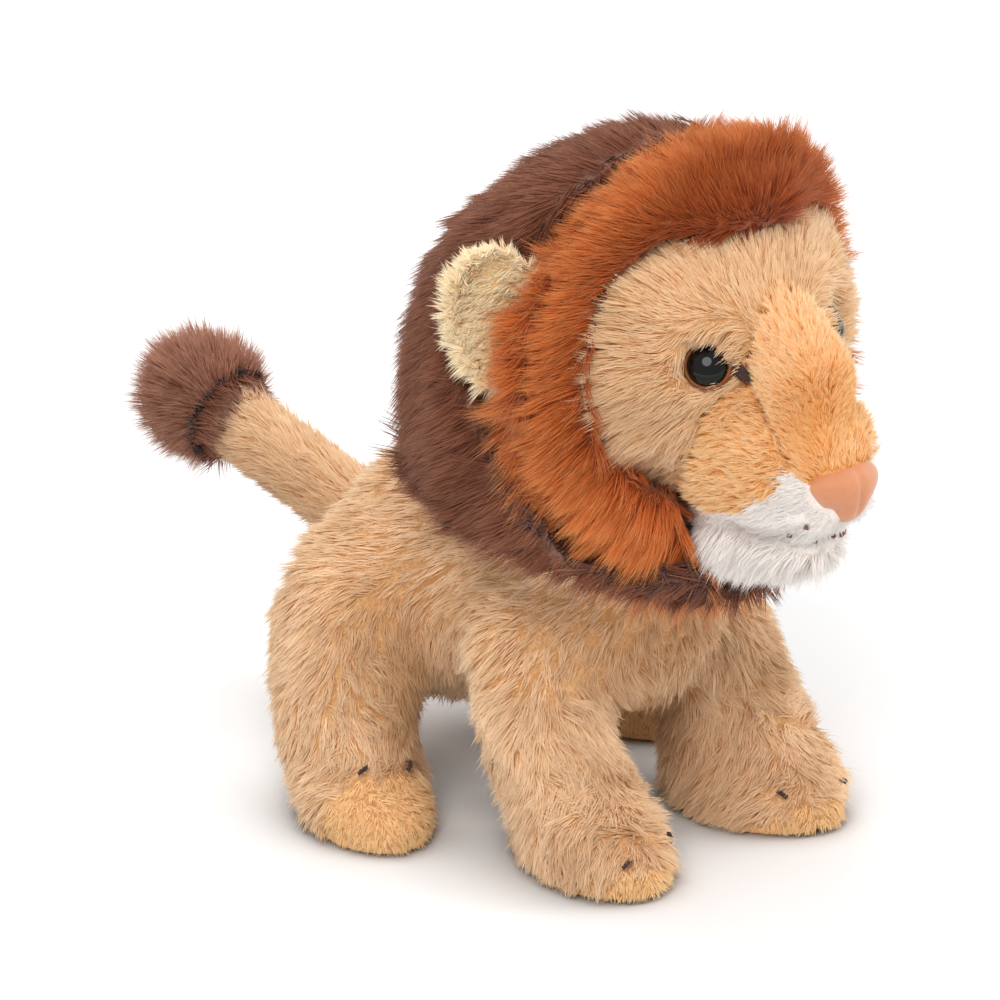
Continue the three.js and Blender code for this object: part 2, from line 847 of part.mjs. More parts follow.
function hoodForm() {
  const rows = hoodShares.map(([height, back, wide, long]) => [
    0,
    back * hoodBack,
    height * hoodHeight,
    wide * hoodHalfWidth,
    long * hoodHalfLength,
    0,
  ]);
  return solid(loft(rows, hoodSteps, level, 0));
}

const rimSlope = Math.atan2(rimBackHeight - rimFrontHeight, rimFront + rimBack);
const belowRim = solid(
  slab(new THREE.Vector3(-reach, -reach, -reach), new THREE.Vector3(reach, reach, 0))
    .rotateX(rimSlope)
    .translate(0, -rimFront, rimFrontHeight),
);
const beforeSeam = solid(
  slab(
    new THREE.Vector3(-reach, -reach, bibHeight),
    new THREE.Vector3(reach, faceSeam, tallest + overrun),
  ),
);

// Ear: two layers of fabric in a shallow cup, sewn into the seam between ring and hood

function earForm(layer, grow, layers = 1) {
  const across = (earReach + earRootDepth) / 2;
  const outline = new THREE.CylinderGeometry(1, 1, earCup, sides, 1);
  outline.scale(across + grow, 1, earHalfHeight + grow).translate(across - earRootDepth, 0, 0);
  const hollow = earCup + layer * (earLayer + gap) - grow;
  const far = hollow + earLayer * layers + gap * (layers - 1) + grow * 2;
  const middle = new THREE.Vector3(0, -earCup - earLayer, 0);
  const outer = solid(ellipsoid(middle, far, far, far, ballSides, ballRings));
  const inner = solid(ellipsoid(middle, hollow, hollow, hollow, ballSides, ballRings));
  return whole(cut(solid(outline).intersect(outer), inner));
}

function onEar(made, fold = 0) {
  const geometry = geometryOf(made).rotateZ(fold).rotateY(earTilt).rotateZ(earYaw);
  geometry.translate(earSide, earBack, earHeight);
  return solid(geometry);
}

const earFront = onEar(earForm(0, 0));
const earRear = onEar(earForm(1, 0));
const earFoldShares = [-1, 0, 1];
const earRoom = join(
  ...earFoldShares.map((share) => onEar(earForm(0, runningGap, 2), share * earFold)),
);

const skullBlock = slab(
  new THREE.Vector3(-reach, faceSeam + gap, -overrun),
  new THREE.Vector3(reach, reach, tallest),
);
const skull = face(0).intersect(solid(skullBlock));
const headFilling = whole(
  cut(
    join(face(fillingInset), skull),
    bothSides(eyeRoom(gap)),
    bothSides(lockRoom),
    noseBall(gap),
    neckCavity,
    bothSides(earRoom),
  ),
);
const ring = whole(cut(maneRing(0), face(gap), neckCavity, bothSides(earRoom)));
const hood = whole(
  cut(hoodForm(), maneRing(gap), face(gap), neckCavity, belowRim, beforeSeam, bothSides(earRoom)),
);

// Tail pieces

const tailBore = tailTube(-tailFabric, boreOverrun);
const tailCover = whole(cut(tailTube(0, overrun), tailBore, tailEndCut));
const rootBall = (grow) => {
  const radius = tailRadius - tailFabric - rootBallGap + grow;
  return solid(ellipsoid(tailRoot, radius, radius, radius));
};
const tailWad = tailTube(-tailFabric - gap, overrun);
const tailFilling = whole(cut(tailWad, tailEndCut, rootBall(runningGap), rootHalf));
const tuftPlace = new THREE.Vector3(0, tailLength + tuftHalfLength - tuftOverlap, 0);
const tuftForm = onTail(ellipsoid(tuftPlace, tuftRadius, tuftHalfLength, tuftRadius));
const tailEndRoom = cut(tailTube(gap, overrun), pastTail(tailLength + gap));
const tuft = whole(cut(tuftForm, tailEndRoom));

// Materials

function cloth(colour, roughness = 0.95) {
  return new THREE.MeshStandardMaterial({ color: colour, roughness, metalness: 0 });
}

const tanPlush = cloth(0xdeb887);
const soleCloth = cloth(0xe8b274);
const filling = cloth(0xf2f0ea);
const bridgePlush = cloth(0xebb26e);
const whitePlush = cloth(0xeeeae8);
const satin = cloth(0xe29470, 0.5);
const rustPile = cloth(0xb05620);
const brownPile = cloth(0x7d5c4e);
const earPlush = cloth(0xecd6a5);
const eyePlastic = cloth(0x100e0e, 0.08);
const lockPlastic = cloth(0xf4f4f0, 0.5);

// The group

const group = new THREE.Group();

function put(name, made, material) {
  const mesh = new THREE.Mesh(geometryOf(made), material.clone());
  mesh.name = name;
  group.add(mesh);
}

function putPair(name, [left, right], material) {
  put(name.replace("SIDE", "left"), left, material);
  put(name.replace("SIDE", "right"), right, material);
}

function putMirrored(name, made, material) {
  putPair(name, [made, mirroredSolid(made)], material);
}

putPair("body_side_SIDE", bodySides, tanPlush);
put("belly_gusset", bellyGusset, tanPlush);
putMirrored("fore_sole_SIDE", foreSole, soleCloth);
putMirrored("hind_sole_SIDE", hindSole, soleCloth);
put("torso_filling", torsoFilling, filling);
putMirrored("fore_leg_filling_SIDE", foreLegFilling, filling);
putMirrored("hind_leg_filling_SIDE", hindLegFilling, filling);
put("neck_filling", neckPlug(0), filling);
put("head_filling", headFilling, filling);
putPair("cheek_SIDE", cheeks, tanPlush);
put("nose_bridge", bridge, bridgePlush);
putPair("muzzle_side_SIDE", muzzleSides, bridgePlush);
putPair("upper_lip_SIDE", upperLips, whitePlush);
put("chin", chin, whitePlush);
put("nose", noseSolid, satin);
putMirrored("eye_SIDE", solid(onEye(eye(0), 1)), eyePlastic);
putMirrored("eye_lock_SIDE", solid(onEye(eyeLock(0), 1)), lockPlastic);
put("mane_ring", ring, rustPile);
put("mane_hood", hood, brownPile);
putMirrored("ear_front_SIDE", earFront, earPlush);
putMirrored("ear_back_SIDE", earRear, earPlush);
put("tail_cover", tailCover, tanPlush);
put("tail_root_filling", rootBall(0), filling);
put("tail_filling", tailFilling, filling);
put("tail_tuft", tuft, brownPile);

const box = new THREE.Box3().setFromObject(group);
group.position.set(-(box.min.x + box.max.x) / 2, -(box.min.y + box.max.y) / 2, -box.min.z);

export default group;
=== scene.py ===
import math

import bmesh
import bpy
import numpy as np
from mathutils import Matrix, Vector
from mathutils.bvhtree import BVHTree


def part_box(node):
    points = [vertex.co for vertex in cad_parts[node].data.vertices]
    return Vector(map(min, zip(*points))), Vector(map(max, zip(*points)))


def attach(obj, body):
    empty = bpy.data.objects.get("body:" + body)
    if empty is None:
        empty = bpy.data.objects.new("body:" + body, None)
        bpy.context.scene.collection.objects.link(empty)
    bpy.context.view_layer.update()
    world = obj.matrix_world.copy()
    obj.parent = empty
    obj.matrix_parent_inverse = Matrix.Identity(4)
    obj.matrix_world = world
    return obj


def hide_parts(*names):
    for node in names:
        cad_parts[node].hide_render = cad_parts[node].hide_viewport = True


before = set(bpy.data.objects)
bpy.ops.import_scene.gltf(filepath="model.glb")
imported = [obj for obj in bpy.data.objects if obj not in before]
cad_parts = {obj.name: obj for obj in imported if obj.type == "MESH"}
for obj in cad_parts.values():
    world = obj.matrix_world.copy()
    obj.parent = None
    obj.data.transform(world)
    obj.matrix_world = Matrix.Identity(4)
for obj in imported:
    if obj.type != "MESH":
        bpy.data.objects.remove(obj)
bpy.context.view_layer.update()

# A plush lion. Places are given as in the sewing plan: side, forward of the fore paws and height,
# in millimetres, and turned into metres in the frame of the solids.
MM = 0.001
SOLE_BACK = 6.8  # the middle of a fore sole lies this far behind the line that forward is counted from
sole_low, sole_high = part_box("fore_sole_left")
CENTRE_BACK = SOLE_BACK - (sole_low.y + sole_high.y) / 2 / MM  # from that line to the lion's middle
SIDES = ((1, "left"), (-1, "right"))  # the photograph shows the right side of the lion


def at(side, forward, height):
    return Vector((side * MM, -(forward + CENTRE_BACK) * MM, height * MM))


def plan(points):
    """Side, forward and height in millimetres of an array of points in metres."""
    p = np.asarray(points, float) / MM
    return p[:, 0], -p[:, 1] - CENTRE_BACK, p[:, 2]


def both(name):
    return [name + "_left", name + "_right"]


# Small helps with arrays and objects


def smooth_step(value, low, high):
    share = np.clip((value - low) / (high - low), 0, 1)
    return share * share * (3 - 2 * share)


def bell(*shares):
    """1 where all the shares are 0, and next to nothing where one of them is past 2."""
    return np.exp(-sum(share**2 for share in shares))


def unit(vectors):
    return vectors / np.maximum(np.linalg.norm(vectors, axis=1, keepdims=True), 1e-12)


def arrows(side, back, up):
    """Vectors from their three parts, each a number or an array."""
    return np.stack(np.broadcast_arrays(side, back, up), axis=1)


def everywhere(points, normals):
    return np.ones(len(points))


def nowhere(points, normals):
    return np.zeros(len(points))


def linked(name, data):
    thing = bpy.data.objects.new(name, data)
    bpy.context.scene.collection.objects.link(thing)
    return thing


def direction(yaw, pitch):
    """The way ahead, after a turn to the lion's left by yaw and a turn up by pitch."""
    return Vector((math.sin(yaw) * math.cos(pitch), -math.cos(yaw) * math.cos(pitch), math.sin(pitch)))


# Camera, at the photograph's angle

AZIMUTH, ELEVATION = math.radians(-44), math.radians(22.5)
LENS, SENSOR = 800, 36
CLIP = 0.05, 50  # metres
SEEN_WIDTH = 235 * MM  # what the picture's width takes in at the lion
AIM = at(15.8, -82.3, 58.6)
PICTURE = 1000  # pixels
BACK = direction(AZIMUTH, ELEVATION)


def add_camera():
    data = bpy.data.cameras.new("camera")
    data.lens, data.sensor_width = LENS, SENSOR
    data.clip_start, data.clip_end = CLIP
    camera = linked("camera", data)
    camera.rotation_mode = "QUATERNION"
    camera.location = AIM + BACK * (SEEN_WIDTH * LENS / SENSOR)
    camera.rotation_quaternion = (-BACK).to_track_quat("-Z", "Y")
    bpy.context.scene.camera = camera
    return camera


camera = add_camera()


def sight(x, y):
    """The line of sight through a pixel of the photograph: its start and its direction."""
    bpy.context.view_layer.update()
    across = (x / PICTURE - 0.5) * SENSOR
    up = (0.5 - y / PICTURE) * SENSOR
    turn = camera.matrix_world.to_3x3()
    return camera.matrix_world.translation, (turn @ Vector((across, up, -LENS))).normalized()


def seen_at(points):
    """Where the photograph shows each place. Places on the far side are mirrored to the near side."""
    bpy.context.view_layer.update()
    near = np.array(points, float)
    near[:, 0] = -np.abs(near[:, 0])
    local = (near - np.array(camera.matrix_world.translation)) @ np.array(camera.matrix_world.to_3x3())
    scale = LENS / SENSOR * PICTURE / -local[:, 2]
    return PICTURE / 2 + local[:, 0] * scale, PICTURE / 2 - local[:, 1] * scale


def line_distance(x, y, line):
    """How many pixels each place lies from a line through the given pixels."""
    nearest = np.full(len(x), np.inf)
    for (ax, ay), (bx, by) in zip(line, line[1:]):
        dx, dy = bx - ax, by - ay
        share = np.clip(((x - ax) * dx + (y - ay) * dy) / (dx * dx + dy * dy), 0, 1)
        nearest = np.minimum(nearest, np.hypot(x - ax - share * dx, y - ay - share * dy))
    return nearest


def within(x, y, outline):
    """Which places lie inside an outline of pixels."""
    inside = np.zeros(len(x), bool)
    for (ax, ay), (bx, by) in zip(outline, outline[1:] + outline[:1]):
        crosses = (ay > y) != (by > y)
        inside ^= crosses & (x < ax + (y - ay) * (bx - ax) / (by - ay if by != ay else 1e-9))
    return inside


def depth_within(x, y, outline):
    """Pixels inside an outline, or minus the pixels outside it."""
    away = line_distance(x, y, outline + outline[:1])
    return np.where(within(x, y, outline), away, -away)


def facing(normals, points):
    """How squarely each place faces the camera, after the far side is mirrored to the near side."""
    turned_near = np.array(normals, float)
    turned_near[:, 0] = -np.sign(points[:, 0]) * turned_near[:, 0]
    return turned_near @ np.array(BACK)


# Shader nodes


def add_node(tree, kind, inputs=None, **settings):
    """A shader node with its settings. Each input is a value, or the output that feeds it."""
    node = tree.nodes.new("ShaderNode" + kind)
    for name, value in settings.items():
        setattr(node, name, value)
    for name, value in (inputs or {}).items():
        if isinstance(value, bpy.types.NodeSocket):
            tree.links.new(value, node.inputs[name])
        else:
            node.inputs[name].default_value = value
    return node


def mixed(tree, first, second, share, blend="MIX"):
    inputs = {0: share, 6: first, 7: second}  # a mix node keeps its colours there
    return add_node(tree, "Mix", inputs, data_type="RGBA", blend_type=blend).outputs[2]


def ease(tree, value, low, high, least=0.0, most=1.0):
    limits = {"Value": value, "From Min": low, "From Max": high, "To Min": least, "To Max": most}
    return add_node(tree, "MapRange", limits, interpolation_type="SMOOTHSTEP").outputs[0]


def calculated(tree, operation, first, second):
    return add_node(tree, "Math", {0: first, 1: second}, operation=operation).outputs[0]


def seen_directly(tree):
    """1 for what the camera sees, also in a reflection or through a material, and 0 for other light."""
    rays = add_node(tree, "LightPath").outputs
    seen = calculated(tree, "MAXIMUM", rays["Is Camera Ray"], rays["Is Glossy Ray"])
    return calculated(tree, "MAXIMUM", seen, rays["Is Transmission Ray"])


# Floor and light

FLOOR_HALF = 6.0
FLOOR_GREY = (0.8, 0.8, 0.8, 1)
WHITE_SEEN = (0.99, 0.99, 0.99, 1)  # what the camera and reflections see of the floor
FAR_FROM, FAR_TO = 0.35, 2.2
FAR_GAIN = 2.4  # how much paler the floor is seen far off, where less light falls
SHADE_REACH, SHADE_LEFT = 0.03, 0.25  # how far out the shade under a paw reaches, and what it leaves
SHADE_SAMPLES = 12
WORLD_LIGHT, WORLD_COLOUR = 0.58, (0.98, 0.99, 1, 1)


def floor_material():
    material = bpy.data.materials.new("pale_floor")
    material.use_nodes = True
    tree = material.node_tree
    tree.nodes.clear()
    place = add_node(tree, "TexCoord").outputs["Object"]
    away = add_node(tree, "VectorMath", {0: place}, operation="LENGTH").outputs["Value"]
    gain = ease(tree, away, FAR_FROM, FAR_TO, 1.0, FAR_GAIN)
    open_sky = add_node(tree, "AmbientOcclusion", {"Distance": SHADE_REACH}, samples=SHADE_SAMPLES)
    shade = ease(tree, open_sky.outputs["AO"], 0.0, 1.0, SHADE_LEFT)
    shaded = mixed(tree, WHITE_SEEN, shade, 1, "MULTIPLY")
    evened = mixed(tree, shaded, gain, 1, "MULTIPLY")
    matt = add_node(tree, "BsdfDiffuse", {"Color": mixed(tree, FLOOR_GREY, evened, seen_directly(tree))})
    add_node(tree, "OutputMaterial", {"Surface": matt.outputs[0]})
    return material


def add_floor():
    bpy.ops.mesh.primitive_plane_add(size=FLOOR_HALF * 2, location=(0, 0, 0))
    floor = bpy.context.object
    floor.name = "floor"
    floor.data.materials.append(floor_material())


def add_world():
    world = bpy.data.worlds.new("studio")
    bpy.context.scene.world = world
    world.use_nodes = True
    tree = world.node_tree
    tree.nodes.clear()
    light = add_node(tree, "Background", {"Color": WORLD_COLOUR, "Strength": WORLD_LIGHT})
    seen = add_node(tree, "Background", {"Color": (1, 1, 1, 1), "Strength": 1})
    mix = add_node(tree, "MixShader", {0: seen_directly(tree), 1: light.outputs[0], 2: seen.outputs[0]})
    add_node(tree, "OutputWorld", {"Surface": mix.outputs[0]})


def add_lamp(name, place, size, power, colour=(1, 1, 1)):
    data = bpy.data.lights.new(name, "AREA")
    data.shape, data.size = "DISK", size
    data.energy, data.color = power, colour
    lamp = linked(name, data)
    lamp.location = Vector(place)
    lamp.rotation_mode = "QUATERNION"
    lamp.rotation_quaternion = (AIM - lamp.location).to_track_quat("-Z", "Y")


bpy.ops.object.select_all(action="DESELECT")
add_floor()
add_world()
add_lamp("key", place=(-1.3, -0.9, 1.7), size=1.2, power=26, colour=(1, 0.985, 0.96))
add_lamp("fill", place=(1.6, -1.2, 1.2), size=1.4, power=19)
add_lamp("top", place=(0.2, 0.9, 2.0), size=1.4, power=14.5)

bpy.context.scene.view_settings.view_transform = "Standard"

# Materials. Their colours were matched to patches of the photograph.

STRAND_MAP = "OFBake"  # across a strand's map runs its own tint, and up it runs root to tip


def linear(red, green, blue):
    """A colour read as 0 to 255, as the shaders want it."""
    return tuple(
        c / 12.92 if c <= 0.04045 else ((c + 0.055) / 1.055) ** 2.4
        for c in (red / 255, green / 255, blue / 255)
    ) + (1,)


def new_group(name, inputs, outputs):
    group = bpy.data.node_groups.new(name, "ShaderNodeTree")
    for way, sockets in (("INPUT", inputs), ("OUTPUT", outputs)):
        for socket, kind in sockets.items():
            group.interface.new_socket(name=socket, in_out=way, socket_type="NodeSocket" + kind)
    return group, group.nodes.new("NodeGroupInput").outputs, group.nodes.new("NodeGroupOutput").inputs


def pile_group():
    """The colour of a strand: dark where it leaves the backing, which is painted shade at the roots, then
    its body colour, then its tip, all moved between a shaded and a light tint by the strand's own share."""
    inputs = dict.fromkeys(("Root", "Body", "Tip", "Shaded", "Light"), "Color")
    group, take, give = new_group("strand_colours", inputs, {"Colour": "Color"})
    place = add_node(group, "UVMap", uv_map=STRAND_MAP).outputs[0]
    parts = add_node(group, "SeparateXYZ", {0: place}).outputs
    body = mixed(group, take["Root"], take["Body"], ease(group, parts["Y"], 0.0, 0.5))
    strand = mixed(group, body, take["Tip"], ease(group, parts["Y"], 0.5, 1.0))
    tint = mixed(group, take["Shaded"], take["Light"], parts["X"])
    group.links.new(mixed(group, strand, tint, 1, "MULTIPLY"), give["Colour"])
    return group


def backing_group():
    """Mottled backing cloth, with the height of its knit."""
    inputs = {"Dark": "Color", "Pale": "Color", "Patch": "Float", "Knit": "Float"}
    group, take, give = new_group("backing_cloth", inputs, {"Colour": "Color", "Height": "Float"})
    place = add_node(group, "TexCoord").outputs["Object"]
    patch, knit = (
        add_node(group, "TexNoise", {"Vector": place, "Scale": take[scale], "Detail": detail}).outputs[0]
        for scale, detail in (("Patch", 4), ("Knit", 2))
    )
    spread = ease(group, calculated(group, "MULTIPLY", patch, knit), 0.12, 0.42)
    group.links.new(mixed(group, take["Dark"], take["Pale"], spread), give["Colour"])
    group.links.new(knit, give["Height"])
    return group


STRANDS, BACKING = pile_group(), backing_group()


def principled(name, roughness, specular, sheen):
    """A material with nodes, its node tree and the inputs of its shader."""
    material = bpy.data.materials.new(name)
    material.use_nodes = True
    shader = material.node_tree.nodes["Principled BSDF"].inputs
    shader["Roughness"].default_value = roughness
    shader["Specular IOR Level"].default_value = specular
    shader["Sheen Weight"].default_value = sheen
    shader["Sheen Roughness"].default_value = 0.5
    return material, material.node_tree, shader


def pile(name, root, body, tip, shaded, light):
    """Shaded and light are what the colours of the darkest and the palest strands are multiplied by."""
    material, tree, shader = principled(name, roughness=0.8, specular=0.15, sheen=0.15)
    colours = {"Root": linear(*root), "Body": linear(*body), "Tip": linear(*tip)}
    colours |= {"Shaded": (*shaded, 1), "Light": (*light, 1)}
    strand = add_node(tree, "Group", colours, node_tree=STRANDS)
    tree.links.new(strand.outputs["Colour"], shader["Base Color"])
    return material


def cloth(name, dark, pale, patch=90, knit=1600, depth=0.4, roughness=0.9, sheen=0.2, specular=0.2):
    """Patch and knit say how fine its mottling and its knit are, and depth how deep the knit is."""
    material, tree, shader = principled(name, roughness, specular, sheen)
    inputs = {"Dark": linear(*dark), "Pale": linear(*pale), "Patch": patch, "Knit": knit}
    backing = add_node(tree, "Group", inputs, node_tree=BACKING).outputs
    height = {"Distance": depth * MM, "Strength": 0.8, "Height": backing["Height"]}
    tree.links.new(backing["Colour"], shader["Base Color"])
    tree.links.new(add_node(tree, "Bump", height).outputs[0], shader["Normal"])
    return material


def plastic(name, dark, pale, roughness):
    """Moulded plastic with a faint cloudy grain in its colour and its gloss."""
    material, tree, shader = principled(name, roughness, specular=0.22, sheen=0.0)
    place = add_node(tree, "TexCoord").outputs["Object"]
    cloud = add_node(tree, "TexNoise", {"Vector": place, "Scale": 500}).outputs[0]
    gloss = {"Value": cloud, "To Min": roughness * 0.7, "To Max": roughness * 1.3}
    tree.links.new(mixed(tree, linear(*dark), linear(*pale), cloud), shader["Base Color"])
    tree.links.new(add_node(tree, "MapRange", gloss).outputs[0], shader["Roughness"])
    return material


# Each pile: root, body and tip colour, then the shaded and light tints. The darker roots are painted shade.
PILES = {
    name: pile(name + "_pile", *colours) for name, *colours in (
        ("tan", (214, 163, 114), (246, 211, 170), (252, 228, 196), (0.7, 0.56, 0.44), (1.2, 1.2, 1.2)),
        ("cream", (208, 154, 106), (244, 204, 158), (250, 228, 194), (0.8, 0.7, 0.6), (1.08, 1.06, 1.05)),
        ("peach", (204, 116, 48), (252, 194, 132), (255, 222, 180), (0.93, 0.77, 0.47), (1.02, 1.14, 1.26)),
        ("orange", (196, 116, 52), (248, 198, 138), (252, 226, 182), (0.92, 0.76, 0.56), (1.06, 1.09, 1.14)),
        ("white", (240, 228, 220), (254, 248, 243), (255, 250, 246), (0.95, 0.93, 0.92), (1.0, 1.0, 1.0)),
        ("rust", (152, 68, 26), (210, 106, 48), (232, 150, 90), (0.54, 0.42, 0.32), (1.18, 1.33, 1.36)),
        # the seam pile's dark strands are painted shade along the seams of the face
        ("seam", (92, 48, 22), (150, 92, 50), (196, 134, 84), (0.8, 0.74, 0.7), (1.1, 1.1, 1.1)),
        ("brown", (122, 76, 58), (138, 84, 62), (168, 120, 96), (0.66, 0.58, 0.54), (1.14, 1.12, 1.1)),
        ("tuft", (112, 68, 52), (148, 96, 74), (192, 146, 124), (0.66, 0.6, 0.56), (1.14, 1.12, 1.1)),
        ("ear", (255, 228, 190), (255, 240, 208), (255, 244, 216), (0.94, 0.84, 0.72), (1.08, 1.08, 1.08)),
        ("pad", (242, 178, 116), (255, 212, 156), (255, 226, 178), (0.9, 0.8, 0.68), (1.08, 1.08, 1.08)),
    )
}
# The backing cloths are darker than the pile, like the strand roots: painted shade deep in the pile.
BACKINGS = {
    name: cloth(name + "_backing", *colours) for name, *colours in (
        ("tan", (196, 142, 92), (228, 180, 128)),
        ("cream", (196, 142, 92), (228, 182, 130)),
        ("pale", (226, 190, 140), (246, 218, 172)),
        ("peach", (216, 148, 84), (240, 184, 118)),
        ("white", (236, 224, 216), (250, 244, 240)),
        ("rust", (128, 58, 24), (176, 92, 44)),
        ("brown", (104, 68, 52), (142, 98, 78)),
    )
}
SOLE_CLOTH = cloth("sole_cloth", (222, 160, 100), (248, 200, 140), patch=140, knit=2600)
SATIN = cloth(
    "nose_satin", (206, 134, 92), (222, 152, 108), 60, 5200, 0.08, roughness=0.46, sheen=0.3, specular=0.35,
)
THREAD = cloth("brown_thread", (46, 28, 24), (92, 62, 56), 400, 5200, 0.1, roughness=0.6)
PALE_THREAD = cloth("pale_thread", (104, 70, 60), (150, 108, 94), 400, 5200, 0.1, roughness=0.7)
EYE_BLACK = plastic("eye_black", (4, 4, 4), (10, 9, 8), 0.04)
EYE_BROWN = plastic("eye_brown", (92, 46, 16), (150, 84, 34), 0.12)
WASHER_WHITE = plastic("washer_white", (226, 226, 220), (244, 244, 240), 0.45)

# Skins: the stuffed forms under the pile. Each starts as a copy of the solids that it stands for.


def dress(thing, material, body):
    """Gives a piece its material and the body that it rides."""
    thing.data.materials.append(material)
    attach(thing, body)


def apply_modifier(thing, name, kind, **settings):
    modifier = thing.modifiers.new(name, kind)
    for setting, value in settings.items():
        setattr(modifier, setting, value)
    bpy.ops.object.select_all(action="DESELECT")
    thing.select_set(True)
    bpy.context.view_layer.objects.active = thing
    bpy.ops.object.modifier_apply(modifier=name)


def copy_of(name, nodes):
    made = bmesh.new()
    for node in nodes:
        made.from_mesh(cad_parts[node].data)
    bmesh.ops.remove_doubles(made, verts=made.verts, dist=1e-6)
    mesh = bpy.data.meshes.new(name)
    made.to_mesh(mesh)
    made.free()
    return linked(name, mesh)


def keep_largest(thing):
    """Drops the inner shells that the hollows between cloth and filling leave."""
    shape = bmesh.new()
    shape.from_mesh(thing.data)
    left, shells = set(shape.verts), []
    while left:
        shell, edge = set(), [next(iter(left))]
        while edge:
            vertex = edge.pop()
            if vertex in shell:
                continue
            shell.add(vertex)
            edge.extend(e.other_vert(vertex) for e in vertex.link_edges)
        shells.append(shell)
        left -= shell
    largest = max(shells, key=len)
    bmesh.ops.delete(shape, geom=[v for v in shape.verts if v not in largest], context="VERTS")
    shape.to_mesh(thing.data)
    shape.free()


def arrays_of(thing):
    """A mesh's triangles, places and directions."""
    mesh = thing.data
    mesh.calc_loop_triangles()
    corners = np.empty(len(mesh.loop_triangles) * 3, np.int32)
    mesh.loop_triangles.foreach_get("vertices", corners)
    points = np.empty(len(mesh.vertices) * 3, np.float32)
    mesh.vertices.foreach_get("co", points)
    normals = np.empty(len(mesh.vertices) * 3, np.float32)
    mesh.vertex_normals.foreach_get("vector", normals)
    return corners.reshape(-1, 3), points.reshape(-1, 3).astype(float), normals.reshape(-1, 3).astype(float)


def move_places(thing, places):
    thing.data.vertices.foreach_set("co", np.asarray(places, np.float32).reshape(-1))
    thing.data.update()


SETTLING = 2  # rounds of smoothing after a skin's places are moved


def skin(name, nodes, voxel, smoothing, inset, body, material, stands_for=None, shape=None):
    """inset is how far the skin lies under the solids, in millimetres: one number, or a function of
    places and directions on the skin. shape moves the skin's places in the end."""
    thing = copy_of(name, nodes)
    apply_modifier(thing, "voxels", "REMESH", mode="VOXEL", voxel_size=voxel * MM)
    keep_largest(thing)
    apply_modifier(thing, "soften", "SMOOTH", factor=0.5, iterations=smoothing)
    _, points, normals = arrays_of(thing)
    deep = inset(points, normals) if callable(inset) else inset
    move_places(thing, points - normals * np.reshape(deep, (-1, 1)) * MM)
    apply_modifier(thing, "settle", "SMOOTH", factor=0.5, iterations=SETTLING)
    if shape:
        _, points, normals = arrays_of(thing)
        move_places(thing, shape(points, normals))
    thing.data.shade_smooth()
    dress(thing, material, body)
    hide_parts(*(stands_for or nodes))
    return thing


FORE_PAW = (26, 5, 18, 25.5, 10)  # side, forward, half width, half length, splay
HIND_PAW = (45, -63, 17, 25, 24)
SOLE_THICK = 2.2


def towards_toe(side, forward, paw):
    """How far a place lies from a paw's middle to its toe, as a share of the paw's half length."""
    out, middle, _, half_length, splay = paw
    turn = math.radians(splay)
    return ((np.abs(side) - out) * math.sin(turn) + (forward - middle) * math.cos(turn)) / half_length


def body_inset(points, normals):
    return 2.4 - 1.2 * smooth_step(-plan(points)[1], 50, 75)


def stand_down(points, normals):
    """Lets the paws down onto their soles, flat on the floor, and lifts the toes of the fore paws."""
    moved = points.copy()
    side, forward, up = plan(points)
    up = up - 2.4 * (1 - smooth_step(up, 2.0, 11.0))
    toe = towards_toe(side, forward, FORE_PAW) * (forward > -25)
    up = up + 3.4 * smooth_step(toe, 0.45, 1.0) * (1 - smooth_step(up, 4, 14))
    moved[:, 2] = np.maximum(up, SOLE_THICK - 0.6) * MM
    return moved


# Lines of the face, by the pixels where the photograph shows them
BRIDGE_EDGE = [
    (795, 285), (780, 291), (768, 308), (760, 328), (753, 352), (752, 382), (760, 398), (771, 420),
    (782, 443), (793, 468),
]
NOSE_EDGE = [(793, 468), (806, 480), (812, 489), (818, 497), (821, 507), (828, 513), (833, 528)]
MUZZLE_TOP = [(793, 468), (778, 488), (761, 503), (744, 512), (719, 512), (700, 505), (686, 495)]
CHEEK_EDGE = [(686, 495), (687, 472), (692, 450), (702, 424), (710, 408), (726, 396), (740, 390), (752, 382)]
MOUTH = [
    (845, 526), (836, 533), (829, 539), (817, 545), (802, 547), (790, 544), (777, 540), (753, 535),
    (733, 523),
]
BROW = [(675, 340), (700, 336), (728, 338)]
BRIDGE_PANEL = BRIDGE_EDGE + [(806, 480), (812, 489), (960, 489), (960, 270), (795, 270)]
MUZZLE_PANEL = BRIDGE_EDGE[5:] + MUZZLE_TOP[1:] + CHEEK_EDGE[1:-1]
WHITE_PANEL = MUZZLE_TOP[::-1] + NOSE_EDGE[1:] + [(960, 528), (960, 640), (640, 640), (640, 470)]
FOLDS = (  # a line of the face, how many millimetres deep it is sunk, and half its width in pixels
    (BRIDGE_EDGE[4:], 1.6, 3.6), (BRIDGE_EDGE[:5], 0.5, 4.0), (CHEEK_EDGE, 1.0, 4.0), (MOUTH, 2.6, 5.0),
    (BROW, 1.2, 4.0),
)
EYE = (19.6, 23.0, 133.4)  # the middle of the near or far eye: side, forward, height
EYE_YAW, EYE_PITCH = math.radians(50), math.radians(29)


def eye_outward(sign):
    """The way an eye looks, which is also the line of its stem."""
    return direction(sign * EYE_YAW, EYE_PITCH)


def bed_eyes(points):
    """Presses the face in under the rim of each eye."""
    for sign, _ in SIDES:
        away = points - np.array(at(EYE[0] * sign, EYE[1], EYE[2]))
        axis = np.array(eye_outward(sign))
        out = away @ axis / MM
        wide = np.linalg.norm(away - np.outer(away @ axis, axis), axis=1) / MM
        press = np.clip(out + 1.4, 0, 8) * (1 - smooth_step(wide, 5.4, 7.6)) * (out > -6)
        points = points - np.outer(press * MM, axis)
    return points


